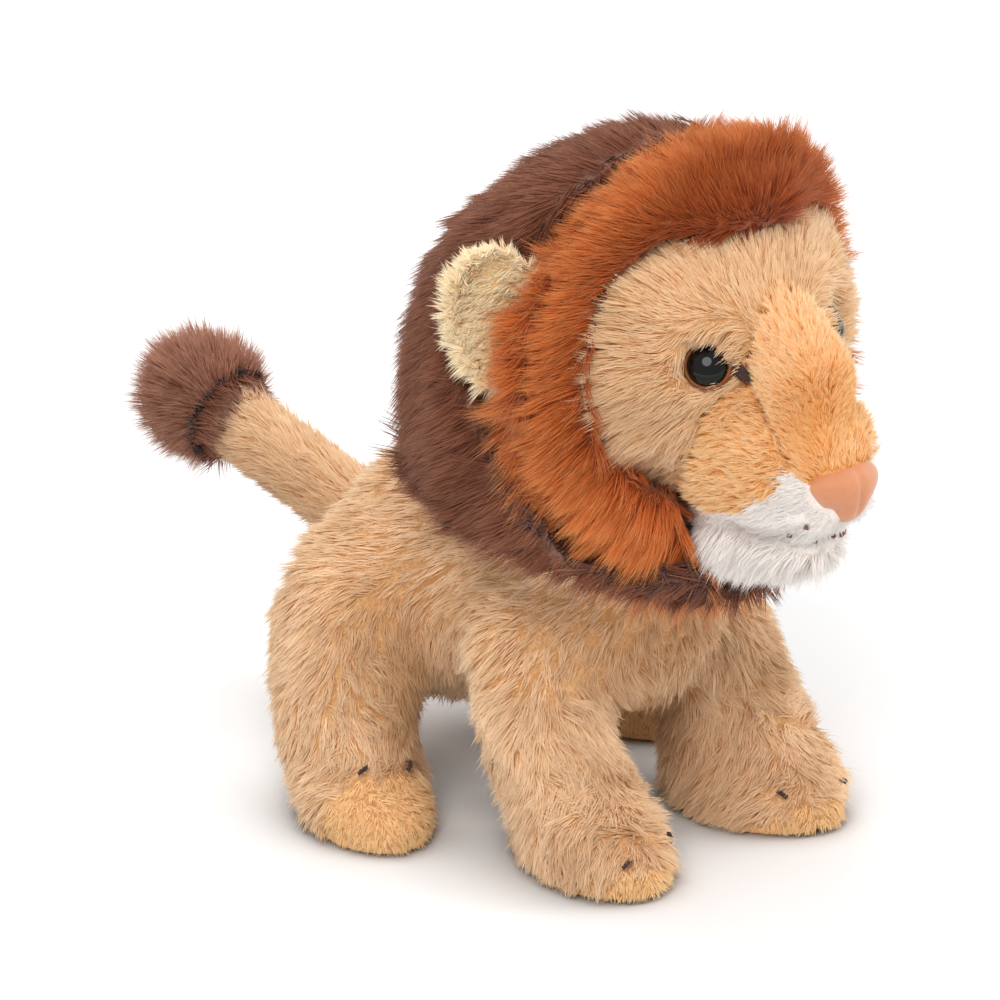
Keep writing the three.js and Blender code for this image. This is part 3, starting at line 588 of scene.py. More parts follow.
def face_folds(points, normals):
    """Sinks the seams and the mouth into the face, and raises the brow over the eyes and the cheeks."""
    x, y = seen_at(points)
    side, forward, height = plan(points)
    seen = smooth_step(facing(normals, points), -0.1, 0.25)
    front = smooth_step(forward, 12, 20)
    deep = sum(much * bell(line_distance(x, y, line) / wide) * front for line, much, wide in FOLDS)
    lid = bell((x - 704) / 26, (y - 349) / 8) * front
    cheeks = smooth_step(np.abs(side), 22, 34) * smooth_step(forward, -1, 5)
    cheeks = cheeks * smooth_step(30 - forward, 0, 12)
    corner = bell((np.abs(side) - 27) / 9, (height - 158) / 10) * smooth_step(forward, -10, 0)
    out = 2.0 * lid * seen - deep * seen + 3.4 * cheeks + 3.4 * corner
    return bed_eyes(points + normals * out[:, None] * MM)


def head_inset(points, normals):
    """The white pile of the jaw is the longest, so its backing lies deepest."""
    side, forward, height = plan(points)
    jaw = smooth_step(forward, 20, 32) * smooth_step(98 - height, 0, 6)
    snout = smooth_step(forward, 38, 48) * smooth_step(height, 96, 100)
    return 2.0 + 2.0 * jaw + snout * (1.4 + 1.8 * smooth_step(np.abs(side), 6, 12))


RING_HALF_WIDTH, RING_MIDDLE, RING_HALF_HEIGHT = 40, 127, 44  # of the oval that the ring follows


def ring_outward(points):
    """Away from the middle of the ring, and 1 long on its oval."""
    side, _, height = plan(points)
    return arrows(side / RING_HALF_WIDTH, 0, (height - RING_MIDDLE) / RING_HALF_HEIGHT)


def over_brow(points):
    """1 in the middle of the ring's top, where it hangs lowest over the forehead."""
    side, _, height = plan(points)
    return bell((side - 4) / 19) * smooth_step(height, 138, 152)


def ring_inset(points, normals):
    """The rust pile stands proud on the outside of the ring, and hardly at its inner edge."""
    side, _, height = plan(points)
    corner = smooth_step(np.abs(side), 8, 20) * smooth_step(height, 138, 148)
    shoulder = bell((np.abs(side) - 28) / 11, (height - 161) / 12)
    inner = 1.4 + 3.1 * corner - 6.0 * over_brow(points)
    beside = smooth_step(np.abs(side), 24, 36) * bell((height - 138) / 20)
    far = 3.0 * smooth_step(side, 18, 34) * smooth_step(height, 118, 132) * smooth_step(172 - height, 0, 8)
    front = smooth_step(-normals[:, 1], 0.1, 0.7)
    outer = 6.4 - 2.6 * front + (1 - front) * (far + 1.6 * shoulder + 1.6 * beside)
    outside = np.sum(unit(ring_outward(points)) * normals, axis=1)
    return inner + (outer - inner) * smooth_step(outside, -0.7, 0.3)


def hood_inset(points, normals):
    """The brown pile stands out most on the sides, and lies flat on top."""
    behind = smooth_step(np.abs(normals[:, 0]), 0.3, 0.85) * smooth_step(normals[:, 1], -0.6, 0.4)
    return 3.2 - 3.4 * behind + 0.9 * smooth_step(normals[:, 2], 0.4, 0.9)


def ear_inset(points, normals):
    """The pile stands out most on the outer rim and on top."""
    rim = smooth_step(np.sign(points[:, 0]) * normals[:, 0], 0.3, 0.9)
    return 0.6 + 1.6 * smooth_step(normals[:, 2], 0.2, 0.9) + 2.4 * rim


LEG_NODES = both("fore_leg_filling") + both("hind_leg_filling")
SOLE_NODES = both("fore_sole") + both("hind_sole")
BODY_NODES = both("body_side") + ["belly_gusset", "torso_filling"] + LEG_NODES
FACE_NODES = both("cheek") + ["nose_bridge", "chin", "head_filling"] + both("muzzle_side") + both("upper_lip")
TAN, RUST, BROWN = BACKINGS["tan"], BACKINGS["rust"], BACKINGS["brown"]
body_skin = skin(
    "body_skin", BODY_NODES + SOLE_NODES, 2.4, 10, body_inset, "body", TAN,
    stands_for=BODY_NODES, shape=stand_down,
)
head_skin = skin(
    "head_skin", FACE_NODES + ["nose"] + both("eye") + both("eye_lock"), 1.3, 9, head_inset, "head",
    BACKINGS["cream"], stands_for=FACE_NODES, shape=face_folds,
)
head_skin.data.materials.append(BACKINGS["peach"])
head_skin.data.materials.append(BACKINGS["white"])
ring_skin = skin("mane_ring_skin", ["mane_ring"], 2.4, 8, ring_inset, "head", RUST)
hood_skin = skin("mane_hood_skin", ["mane_hood"], 3.0, 8, hood_inset, "head", BROWN)
tail_skin = skin("tail_skin", ["tail_cover", "tail_filling"], 1.8, 6, 2.0, "tail", TAN)
tuft_skin = skin("tail_tuft_skin", ["tail_tuft"], 2.0, 6, 7.0, "tail", BROWN)
skin("neck_wadding", ["neck_filling"], 2.4, 6, 0.3, "neck", TAN)
skin("tail_root_wadding", ["tail_root_filling"], 1.6, 4, 0.2, "tail_root", TAN)
ear_skins = {
    side: skin(
        "ear_skin_" + side, ["ear_front_" + side, "ear_back_" + side],
        1.0, 3, ear_inset, "ear_" + side, BACKINGS["pale"],
    )
    for _, side in SIDES
}

# Pile: every strand is a fine closed spike of its own

FLOOR_CLEAR = 0.3  # millimetres over the floor, and no strand reaches lower
NEXT_HIGHER = 0.01  # how much higher each next corner stays, so that a pressed strand keeps a volume
TINT_WIDTH = 0.012  # half of what a face takes up across the strand's map
SPIKE_FACES = np.array([(0, 1, 3), (1, 2, 3), (2, 0, 3), (0, 2, 1)])  # 0 to 2 round the root, 3 the tip
CORNER_SHIFTS = np.array([-1, 1, 0.2])  # these keep a face's corners apart on the strand's map


def flat_on(vectors, normals):
    """What is left of each vector along the surface, as a direction."""
    return unit(vectors - normals * np.sum(vectors * normals, axis=1, keepdims=True))


SWIRL_WAVES = 6


def swirls(points, seed, size):
    """A smooth field of vectors that turns over about size millimetres."""
    dice = np.random.default_rng(seed)
    field = np.zeros((len(points), 3))
    for _ in range(SWIRL_WAVES):
        wave = dice.normal(size=3)
        wave *= 2 * math.pi / (size * MM) / np.linalg.norm(wave) * dice.uniform(0.6, 1.5)
        field += np.sin(points @ wave + dice.uniform(0, 6.3))[:, None] * dice.normal(size=3)
    return field / math.sqrt(SWIRL_WAVES)


def roots_on(thing, count, dice, density):
    """Roots spread over a skin, each as dense as density says, with the skin's normals there."""
    corners, points, normals = arrays_of(thing)
    a, b, c = (points[corners[:, i]] for i in range(3))
    area = np.linalg.norm(np.cross(b - a, c - a), axis=1)
    area *= np.maximum(density((a + b + c) / 3, unit(normals[corners].mean(axis=1))), 0)
    total = np.cumsum(area)
    wanted = (np.arange(count) + dice.random(count)) / count * total[-1]
    chosen = corners[np.minimum(np.searchsorted(total, wanted), len(corners) - 1)]
    u, v = dice.random(count), dice.random(count)
    over = u + v > 1
    u[over], v[over] = 1 - u[over], 1 - v[over]
    shares = np.stack([1 - u - v, u, v], axis=1)[:, :, None]
    return (points[chosen] * shares).sum(axis=1), unit((normals[chosen] * shares).sum(axis=1))


def strands_mesh(name, root, normal, reach, width, tint, softness, dice):
    """Strands as one mesh, each from its root along its reach. Softness is how far a strand takes
    light as the skin under it does, as fine pile does."""
    count = len(root)
    side = unit(np.cross(unit(reach), dice.normal(size=(count, 3))))
    across = np.cross(unit(reach), side)

    def takes_light(outward):
        """As the skin does where the strand's side faces out, and as itself where it faces back."""
        share = softness * smooth_step(np.sum(outward * normal, axis=1, keepdims=True), -0.9, 0.5)
        return unit(normal * share + outward * (1 - share))

    around = [side * math.cos(a) + across * math.sin(a) for a in (0, 2 * math.pi / 3, 4 * math.pi / 3)]
    corners = [takes_light(outward) for outward in around]
    lights = [
        (corners[i], corners[j], takes_light(unit(around[i] + around[j])))
        for i, j in ((0, 1), (1, 2), (2, 0))
    ]
    lights.append((corners[0], corners[2], corners[1]))
    places = [root + width[:, None] * outward / 2 for outward in around] + [root + reach]
    vertices = np.stack(places, axis=1)
    each = vertices.shape[1]
    lowest = FLOOR_CLEAR * MM + np.arange(each) * NEXT_HIGHER * MM
    vertices[:, :, 2] = np.maximum(vertices[:, :, 2], lowest)
    index = (SPIKE_FACES[None] + (np.arange(count) * each)[:, None, None]).reshape(-1)
    at_tip = SPIKE_FACES == each - 1
    u = 0.03 + 0.94 * np.clip(tint, 0, 1)[:, None, None] + TINT_WIDTH * CORNER_SHIFTS
    u = np.broadcast_to(u, (count, *SPIKE_FACES.shape))
    v = np.broadcast_to(0.01 + 0.98 * at_tip + 0.004 * CORNER_SHIFTS, u.shape)
    mesh = bpy.data.meshes.new(name)
    mesh.vertices.add(count * each)
    mesh.vertices.foreach_set("co", vertices.reshape(-1).astype(np.float32))
    mesh.loops.add(len(index))
    mesh.loops.foreach_set("vertex_index", index.astype(np.int32))
    mesh.polygons.add(len(index) // 3)
    mesh.polygons.foreach_set("loop_start", np.arange(0, len(index), 3, dtype=np.int32))
    layer = mesh.uv_layers.new(name=STRAND_MAP)
    layer.data.foreach_set("uv", np.stack([u, v], axis=-1).reshape(-1).astype(np.float32))
    mesh.update(calc_edges=True)
    mesh.shade_smooth()
    by_face = [np.stack(light, axis=1) for light in lights]
    mesh.normals_split_custom_set(np.stack(by_face, axis=1).reshape(-1, 3).astype(np.float32))
    return mesh


# How much locks, and the strands of a lock, differ from one another
LOCK_SIZE, LOCK_LIFT, LOCK_SHADE = 0.15, 8, 0.08
STRAND_START, STRAND_LENGTH, STRAND_WIDTH, STRAND_SHADE = 0.12, 0.12, 0.2, 0.06
MIDDLE_SHADE, PATCH_SHADE = 0.6, 0.13


def fur(name, skin_piece, body, kind, count, length, width, comb, seed, raise_root=60, raise_tip=25,
        group=7, spread=1.0, pull=0.5, unruly=0.25, sink=0.6, density=everywhere, lengths=everywhere,
        tints=nowhere, tint_size=22, softness=0.85, contrast=1.0, lifts=nowhere):
    """Pile over a skin. comb gives the way it lies, raise_root and raise_tip how far it stands off
    the skin in degrees, group and spread how many strands make a lock and how wide it is at its
    root, pull how much a lock draws together at its tip, and unruly how much strands stray."""
    dice = np.random.default_rng(seed)
    locks = max(count // group, 1)
    centre, normal = roots_on(skin_piece, locks, dice, density)
    lie = flat_on(comb(centre, normal) + unruly * dice.normal(size=centre.shape), normal)
    size = lengths(centre, normal) * (1 + LOCK_SIZE * dice.normal(size=locks)).clip(0.55, 1.5)
    lift = np.radians(raise_tip + LOCK_LIFT * dice.normal(size=locks) + lifts(centre, normal))
    patches = PATCH_SHADE * swirls(centre, seed + 1, tint_size)[:, 0]
    shade = MIDDLE_SHADE + contrast * (patches + LOCK_SHADE * dice.normal(size=locks)) + tints(centre, normal)
    own = np.repeat(np.arange(locks), group)
    many = len(own)
    c, n, t, s = centre[own], normal[own], lie[own], size[own]
    angle, reach = dice.uniform(0, 2 * math.pi, many), spread * MM * np.sqrt(dice.random(many))
    offset = t * (reach * np.cos(angle))[:, None] + np.cross(n, t) * (reach * np.sin(angle))[:, None]
    long = length * MM * s * (1 + STRAND_LENGTH * dice.normal(size=many)).clip(0.6, 1.4)
    first = math.radians(raise_root)
    start = n * math.sin(first) + t * math.cos(first) + STRAND_START * dice.normal(size=(many, 3))
    rise = lift[own][:, None]
    end = n * np.sin(rise) + t * np.cos(rise) - offset * (pull * 2 / long[:, None])
    end = unit(end + 0.5 * unruly * dice.normal(size=(many, 3)))
    tint = shade[own] + STRAND_SHADE * contrast * dice.normal(size=many)
    wide = width * MM * (1 + STRAND_WIDTH * dice.normal(size=many)).clip(0.5, 1.6)
    root, along = c + offset - n * sink * MM, long[:, None] * (unit(start) + end) / 2
    piece = linked(name, strands_mesh(name, root, n, along, wide, tint, softness, dice))
    dress(piece, PILES[kind], body)


# Small forms


ROUND_SIDES = 64


def turned(name, profile):
    """A round form about the vertical: a ring is added, and drawn out along the profile's radii and
    heights in millimetres."""
    bpy.ops.object.select_all(action="DESELECT")
    radius, height = profile[0]
    bpy.ops.mesh.primitive_circle_add(vertices=ROUND_SIDES, radius=radius * MM, location=(0, 0, height * MM))
    thing = bpy.context.object
    thing.name = thing.data.name = name
    bpy.ops.object.transform_apply(location=True)
    bpy.ops.object.mode_set(mode="EDIT")
    bpy.ops.mesh.select_all(action="SELECT")
    bpy.ops.mesh.edge_face_add()
    bpy.ops.mesh.select_all(action="SELECT")
    for next_radius, next_height in profile[1:]:
        grow = next_radius / radius
        rise = {"value": (0, 0, (next_height - height) * MM)}
        bpy.ops.mesh.extrude_region_move(TRANSFORM_OT_translate=rise)
        bpy.ops.transform.resize(value=(grow, grow, 1))
        radius, height = next_radius, next_height
    bpy.ops.mesh.select_all(action="SELECT")
    bpy.ops.mesh.normals_make_consistent(inside=False)
    bpy.ops.object.mode_set(mode="OBJECT")
    return thing


def set_in_place(thing, turn, place):
    """Moves a form's mesh, so that its object stays at the origin."""
    thing.data.transform(Matrix.Translation(place) @ turn)
    thing.data.update()
    thing.data.shade_smooth()


SIGHT_REACH, SIGHT_STEP = 6000, 2  # millimetres along a line of sight


def seen_on(tree, x, y):
    """The place on a skin that the photograph shows at a pixel, and the skin's direction there."""
    start, ahead = sight(x, y)
    place, normal, _, _ = tree.ray_cast(start, ahead)
    if place is None:  # just past an edge: the nearest place on the skin to that line of sight
        steps = (start + ahead * (step * MM) for step in range(0, SIGHT_REACH, SIGHT_STEP))
        place, normal, _, _ = min((tree.find_nearest(step) for step in steps), key=lambda found: found[3])
    return place, normal


def mirrored(vector):
    return Vector((-vector.x, vector.y, vector.z))


THREAD_SIDES = 7
THREAD_END = 0.6  # how wide a thread is at its ends, as a share of its width
OFF_THREADS = Vector((0.31, 0.17, 0.93))  # a way that no thread runs


def tubes(name, paths, radius, material, body):
    """Round threads along paths, as one mesh of closed tubes."""
    shape = bmesh.new()
    for path in paths:
        before = None
        aside = OFF_THREADS
        for i, place in enumerate(path):
            along = (path[min(i + 1, len(path) - 1)] - path[max(i - 1, 0)]).normalized()
            aside = (aside - along * aside.dot(along)).normalized()
            across = along.cross(aside)
            wide = radius * MM * (THREAD_END if i in (0, len(path) - 1) else 1.0)
            ring = [
                shape.verts.new(place + (aside * math.cos(a) + across * math.sin(a)) * wide)
                for a in (k * 2 * math.pi / THREAD_SIDES for k in range(THREAD_SIDES))
            ]
            if before:
                for k in range(THREAD_SIDES):
                    j = (k + 1) % THREAD_SIDES
                    shape.faces.new((before[k], before[j], ring[j], ring[k]))
            else:
                shape.faces.new(reversed(ring))
            before = ring
        shape.faces.new(before)
    mesh = bpy.data.meshes.new(name)
    shape.to_mesh(mesh)
    shape.free()
    mesh.shade_smooth()
    dress(linked(name, mesh), material, body)


PLY_TURNS, PLY_STEPS = 1.5, 18
ARCH_POWER = 0.7  # below 1, so that a stitch rises steeply at its ends


def plied(start, end, normal, rise, ply_radius):
    """Two plies twisted round each other, in a low arch between two places on the cloth."""
    along = (end - start).normalized()
    aside = along.cross(normal).normalized()
    paths = []
    for phase in (0, math.pi):
        path = []
        for i in range(PLY_STEPS + 1):
            share = i / PLY_STEPS
            turn = phase + PLY_TURNS * 2 * math.pi * share
            arch = math.sin(math.pi * share) ** ARCH_POWER
            middle = start.lerp(end, share) + normal * (rise * MM * arch)
            path.append(middle + (aside * math.cos(turn) + normal * math.sin(turn)) * ply_radius * MM)
        paths.append(path)
    return paths


# Stitches, placed where the photograph shows them: on the paws, as claws, and on the face

graph = bpy.context.evaluated_depsgraph_get()
body_tree, head_tree = BVHTree.FromObject(body_skin, graph), BVHTree.FromObject(head_skin, graph)

CLAWS_SEEN = [(363, 771), (405, 767), (626, 865), (664, 840)]  # the pixel of each stitch's middle
CLAW_LENGTH = 2.8
CLAW_LEVEL, CLAW_STEEP = 0.8, 0.6  # how a claw slants: its shares along the level and up the paw
WHISKERS_SEEN = [(790, 533), (807, 525), (813, 539)]
BEHIND = Vector((0, 3 * MM, 0))  # the far side of the snout lies this much further back than the near one
MOUTH_SEEN = ((843, 529), (836, 535), (829, 541))
TEAR_SEEN = ((729, 362), (752, 384))

claws = []
for pixel in CLAWS_SEEN:
    place, normal = seen_on(body_tree, *pixel)
    level = Vector((0, 0, 1)).cross(normal).normalized()
    slant = level * CLAW_LEVEL + normal.cross(level) * CLAW_STEEP
    half = slant * CLAW_LENGTH / 2 * MM
    claws.append((place - half, place + half, normal))
claws += [(mirrored(a), mirrored(b), mirrored(n)) for a, b, n in claws]
whiskers = [seen_on(head_tree, *pixel) for pixel in WHISKERS_SEEN]
whiskers += [head_tree.find_nearest(mirrored(p) + BEHIND)[:2] for p, n in whiskers]
mouth = [seen_on(head_tree, *pixel) for pixel in MOUTH_SEEN]
tear = [seen_on(head_tree, *pixel) for pixel in TEAR_SEEN]
tears = [tear, [(mirrored(p), mirrored(n)) for p, n in tear]]

CLAW_PLACES = [a.lerp(b, share) for a, b, _ in claws for share in (0, 0.5, 1)]
FACE_PLACES = (
    [p for p, _ in whiskers] + [p for p, _ in mouth]
    + [a[0].lerp(b[0], share) for a, b in tears for share in (0, 0.33, 0.67, 1)]
)


def clear_of(points, places, inner, outer):
    """0 within inner millimetres of any of the places, and 1 beyond outer."""
    clear = np.ones(len(points))
    for place in places:
        away = np.linalg.norm(points - np.array(place), axis=1) / MM
        clear = np.minimum(clear, smooth_step(away, inner, outer))
    return clear


# Body pile

# Where the photograph shows the short sole pile on the front of a paw
HIND_PAD = [
    (302, 842), (316, 822), (328, 806), (346, 789), (366, 778), (386, 774), (410, 773), (430, 773),
    (443, 783), (447, 800), (447, 830), (430, 862), (375, 880), (300, 880),
]
FORE_PAD = [
    (540, 884), (570, 880), (600, 877), (625, 872), (645, 866), (660, 861), (674, 851), (686, 842),
    (700, 850), (700, 920), (530, 920),
]


def on_pad(points):
    x, y = seen_at(points)
    _, forward, height = plan(points)
    hind = depth_within(x, y, HIND_PAD) * (forward < -36) - 20 * ((forward >= -36) | (height > 26))
    fore = depth_within(x, y, FORE_PAD) - 20 * ((forward < 2) | (height > 14))
    around = 1 - smooth_step(height, 2.0, 3.2)
    return np.maximum(smooth_step(np.maximum(hind, fore), -1.5, 1.5), around)


def under_mane(points):
    """1 where the mane covers the neck and back, where pile would only be crushed."""
    _, forward, height = plan(points)
    return smooth_step(height - (72 + 0.39 * (15 - forward)), 0, 8) * smooth_step(forward, -64, -58)


def body_density(points, normals):
    clear = clear_of(points, CLAW_PLACES, 0.3, 0.9)
    return (1 - on_pad(points)) * (1 - under_mane(points)) * smooth_step(plan(points)[2], 1.6, 3) * clear


def short_at_claws(points, normals):
    return 0.45 + 0.55 * clear_of(points, CLAW_PLACES, 0.8, 4.5)


def mussed(points):
    """0 where the pile is brushed smooth, as on the flank, and 1 where it is mussed."""
    x, y = seen_at(points)
    low = 1 - smooth_step(plan(points)[2], 30, 62)
    return np.clip(0.15 + 0.85 * low - 0.6 * bell((x - 455) / 40, (y - 680) / 70), 0, 1)


def body_comb(points, normals):
    """Back over the torso, and down the legs."""
    side, _, height = plan(points)
    legs = smooth_step(56 - height, -16, 16)[:, None]
    back = arrows(0.25 * np.sign(side), 0.7, -0.7)
    down = arrows(0.1 * np.sign(side), 0.1, -1)
    mess = mussed(points)[:, None]
    flow = back * (1 - legs) + down * legs
    return flow + (0.2 + 0.5 * mess) * swirls(points, 11, 26) + 0.4 * mess * swirls(points, 12, 8)


# Painted shade where the photograph shows the pile darker, crushed or pressed together in creases and
# between the legs, where it lies in shade: the pixel in the middle, the half width and half height in
# pixels, and how much darker
CRUSHED_AND_SHADED = [
    (385, 655, 52, 62, 0.54), (410, 700, 26, 60, 0.47), (590, 640, 34, 46, 0.3), (590, 770, 34, 60, 0.27),
    (650, 690, 46, 56, 0.47), (640, 820, 26, 20, 0.27), (345, 770, 14, 14, 0.27), (430, 600, 60, 26, 0.3),
    (700, 640, 60, 40, 0.41),
]


# Painted shade: the pile's tint is lowered at each patch listed above.
def crushed(points, normals):
    x, y = seen_at(points)
    return -sum(
        much * bell((x - middle_x) / half_x, (y - middle_y) / half_y)
        for middle_x, middle_y, half_x, half_y, much in CRUSHED_AND_SHADED
    )


def leg_of(points):
    """0 for the torso, 1 and 2 for the near and far fore leg, 3 and 4 for the hind legs."""
    side, forward, height = plan(points)
    fore = (height < 46) & (forward > -34)
    hind = (height < 50) & (forward < -40) & (np.abs(side) > 14)
    return np.select([fore & (side < 0), fore, hind & (side < 0), hind], [1, 2, 3, 4], 0)


BODY_PILES = {
    "torso_pile": 40000, "fore_leg_pile_right": 25000, "fore_leg_pile_left": 25000,
    "hind_leg_pile_right": 24000, "hind_leg_pile_left": 24000,
}
for number, (name, count) in enumerate(BODY_PILES.items()):
    fur(
        name, body_skin, "body", "tan", count, 5.6, 0.46, body_comb, 20 + number,
        raise_root=44, raise_tip=10, group=12, spread=1.3, pull=0.45, unruly=0.16, lengths=short_at_claws,
        density=lambda p, n, which=number: body_density(p, n) * (leg_of(p) == which), tints=crushed,
    )


def pad_comb(points, normals):
    return np.array([0, 0, -1]) + 0.3 * swirls(points, 15, 12)


fur(
    "paw_pad_pile", body_skin, "body", "pad", 13000, 3.0, 0.42, pad_comb, 31,
    raise_root=46, raise_tip=22, group=5, spread=0.9, unruly=0.25, contrast=0.7,
    density=lambda p, n: on_pad(p) * (plan(p)[2] > SOLE_THICK - 0.4) * clear_of(p, CLAW_PLACES, 0.3, 0.9),
)

# Face pile

CHEEK_ZONE, BRIDGE_ZONE, MUZZLE_ZONE, WHITE_ZONE = range(4)
ZONE_BACKINGS = np.array([0, 1, 1, 2], np.int32)  # which of the head skin's materials each zone has
NOSE_MIDDLE, NOSE_HALF = (0, 47.4, 104.2), (12.6, 7.8, 7.6)


def face_zone(points):
    """Which panel of the face each place lies on."""
    x, y = seen_at(points)
    _, forward, height = plan(points)
    white = within(x, y, WHITE_PANEL) & (forward > 4) & (height < 116)
    bridge = within(x, y, BRIDGE_PANEL) & (forward > 24) & (height > 100)
    muzzle = within(x, y, MUZZLE_PANEL) & (forward > 12) & (height > 92)
    under_nose = (forward > 38) & (height < 108)
    zones = [BRIDGE_ZONE, MUZZLE_ZONE, WHITE_ZONE, BRIDGE_ZONE]
    return np.select([bridge, muzzle, white | under_nose, forward > 42], zones, CHEEK_ZONE)


def from_eye(points):
    """The way from the eye on the same side, as if that were the left one."""
    side, forward, height = plan(points)
    return arrows(np.abs(side) - EYE[0], forward - EYE[1], height - EYE[2])


def eye_room(points):
    """0 over the eye itself, and 1 clear of it."""
    return smooth_step(np.linalg.norm(from_eye(points), axis=1), 4.9, 5.7)


def nose_room(points):
    """0 in the nose, and 1 clear of it."""
    side, forward, height = plan(points)
    up = (height - NOSE_MIDDLE[2]) / NOSE_HALF[2]
    across = side / (NOSE_HALF[0] * np.clip(0.66 + 0.34 * up, 0.3, 1))
    ahead = (forward - NOSE_MIDDLE[1]) / (NOSE_HALF[1] * 0.95)
    return smooth_step(np.sqrt(across**2 + ahead**2 + up**2), 0.98, 1.05)


def seam_room(points):
    """0 along the seams between the panels of the face, and in the mouth."""
    x, y = seen_at(points)
    seams = np.minimum(line_distance(x, y, BRIDGE_EDGE), line_distance(x, y, CHEEK_EDGE) + 1.0)
    room = smooth_step(seams, 1.0, 3.0) * smooth_step(line_distance(x, y, MOUTH), 1.6, 3.6)
    return np.where(plan(points)[1] > 16, room, 1.0)


def out_of_mane(points):
    """The face's pile ends where the mane is sewn on."""
    return smooth_step(plan(points)[1], -1.5, 1.0)


def in_zone(zone):
    """Where one panel's pile grows: clear of eyes, nose, stitches and the seam under the mane."""
    return lambda p, n: (
        (face_zone(p) == zone) * eye_room(p) * nose_room(p) * out_of_mane(p) * seam_room(p)
        * clear_of(p, FACE_PLACES, 0.4, 1.0)
    )


def face_comb(points, normals):
    """The cheek pile lies away from the bridge, down over the eye and back towards the mane."""
    side, forward, height = plan(points)
    away = from_eye(points)
    from_bridge = arrows(np.abs(side) - 4, forward - 44, height - 128)
    flow = unit(from_bridge) + 0.25 * unit(away) + np.array([0.2, -0.3, -0.15])
    over_eye = bell((away[:, 2] - 7) / 4.5, away[:, 0] / 9, away[:, 1] / 9)
    flow += over_eye[:, None] * np.array([0.9, 0.3, -2.6])
    flow = arrows(flow[:, 0] * np.sign(side), -flow[:, 1], flow[:, 2])
    return flow + 0.26 * swirls(points, 41, 16) + 0.2 * swirls(points, 42, 7)


def bridge_comb(points, normals):
    """Up the bridge and outwards from its ridge."""
    return arrows(0.05 * plan(points)[0], 0.7, 0.7) + 0.3 * swirls(points, 43, 9)


def muzzle_comb(points, normals):
    return arrows(0.4 * np.sign(plan(points)[0]), 0.9, -0.1) + 0.35 * swirls(points, 44, 8)


def on_lip(points):
    """Which places lie over the line of the mouth."""
    x, y = seen_at(points)
    return y < np.interp(x, *np.transpose(MOUTH[::-1]))


def white_comb(points, normals):
    """Back along the lip, and down over the jaw."""
    lip, way = on_lip(points)[:, None], np.sign(plan(points)[0])
    along, down = arrows(0.35 * way, 0.9, -0.25), arrows(0.2 * way, 0.45, -1.0)
    return along * lip + down * ~lip + 0.15 * swirls(points, 45, 14)


def short_at_stitches(points, normals):
    return 0.4 + 0.6 * clear_of(points, FACE_PLACES, 0.8, 3.5)


def white_length(points, normals):
    return np.where(on_lip(points), 0.62, 1.25) * short_at_stitches(points, normals)


def at_border(points):
    """1 at the edge of the mane, where the cheek pile falls over it, and 0 nearer the bridge."""
    return 1 - smooth_step(plan(points)[1], 3, 15)


def cheek_length(points, normals):
    return short_at_stitches(points, normals) * (1 + 0.5 * at_border(points))


def cheek_lifts(points, normals):
    return 8 * at_border(points)


def painted_seam_shade(points, normals):
    """Painted shade: the pile is darker where it dips into a seam, along the brow, and low beside the eye."""
    x, y = seen_at(points)
    seams = np.minimum(line_distance(x, y, BRIDGE_EDGE[3:]), line_distance(x, y, CHEEK_EDGE))
    brow = 0.3 * bell(line_distance(x, y, BROW) / 4.0)
    under = 0.2 * bell((x - 670) / 34, (y - 420) / 40)
    return (-0.55 * bell(seams / 3.4) - brow - under) * (plan(points)[1] > 10)


def bridge_tints(points, normals):
    """The bridge is palest at its top and by its ridge, and deepest orange low on its sides, with the
    painted shade of its seams added.
    """
    x, y = seen_at(points)
    return 0.25 - 0.75 * bell((x - 818) / 34, (y - 425) / 62) + painted_seam_shade(points, normals)


def seam_shadow_density(points, normals):
    """Dark pile that is painted shade in the seams: thick in the lower seams, and thin by the top of the
    bridge.
    """
    x, y = seen_at(points)
    thick = np.zeros(len(x))
    for seam, much in ((BRIDGE_EDGE[3:], 1), (CHEEK_EDGE[1:], 0.35), (BRIDGE_EDGE[:4], 0.3)):
        thick = np.maximum(thick, much * (1 - smooth_step(line_distance(x, y, seam), 0.6, 2.4)))
    return thick * (plan(points)[1] > 16) * eye_room(points)


zones = face_zone(np.array([face.center for face in head_skin.data.polygons]))
head_skin.data.polygons.foreach_set("material_index", ZONE_BACKINGS[zones])

fur("cheek_pile", head_skin, "head", "cream", 32000, 5.6, 0.42, face_comb, 51, raise_root=42,
    raise_tip=10, group=11, spread=1.2, pull=0.5, unruly=0.14, density=in_zone(CHEEK_ZONE),
    lengths=cheek_length, tints=painted_seam_shade, lifts=cheek_lifts)
fur("bridge_pile", head_skin, "head", "peach", 20000, 3.6, 0.38, bridge_comb, 52,
    raise_root=50, raise_tip=18, group=10, spread=0.9, pull=0.9, unruly=0.2, sink=0.3,
    density=in_zone(BRIDGE_ZONE), lengths=short_at_stitches, tints=bridge_tints, tint_size=5, softness=0.6)
fur("muzzle_pile", head_skin, "head", "orange", 13000, 4.0, 0.4, muzzle_comb, 53,
    raise_root=50, raise_tip=18, group=11, spread=1.0, pull=0.95, unruly=0.16, density=in_zone(MUZZLE_ZONE),
    lengths=short_at_stitches, tints=painted_seam_shade, tint_size=5, softness=0.6, contrast=1.2)
fur("white_pile", head_skin, "head", "white", 27000, 5.6, 0.34, white_comb, 54, raise_root=50,
    raise_tip=13, group=9, spread=1.1, pull=0.6, unruly=0.12, softness=0.7, density=in_zone(WHITE_ZONE),
    lengths=white_length)
# Dark strands along the seams of the face: painted shade.
fur("seam_pile", head_skin, "head", "seam", 1600, 2.6, 0.34, bridge_comb, 55, raise_root=60,
    raise_tip=35, group=4, spread=0.4, unruly=0.3, density=seam_shadow_density)

# Mane pile


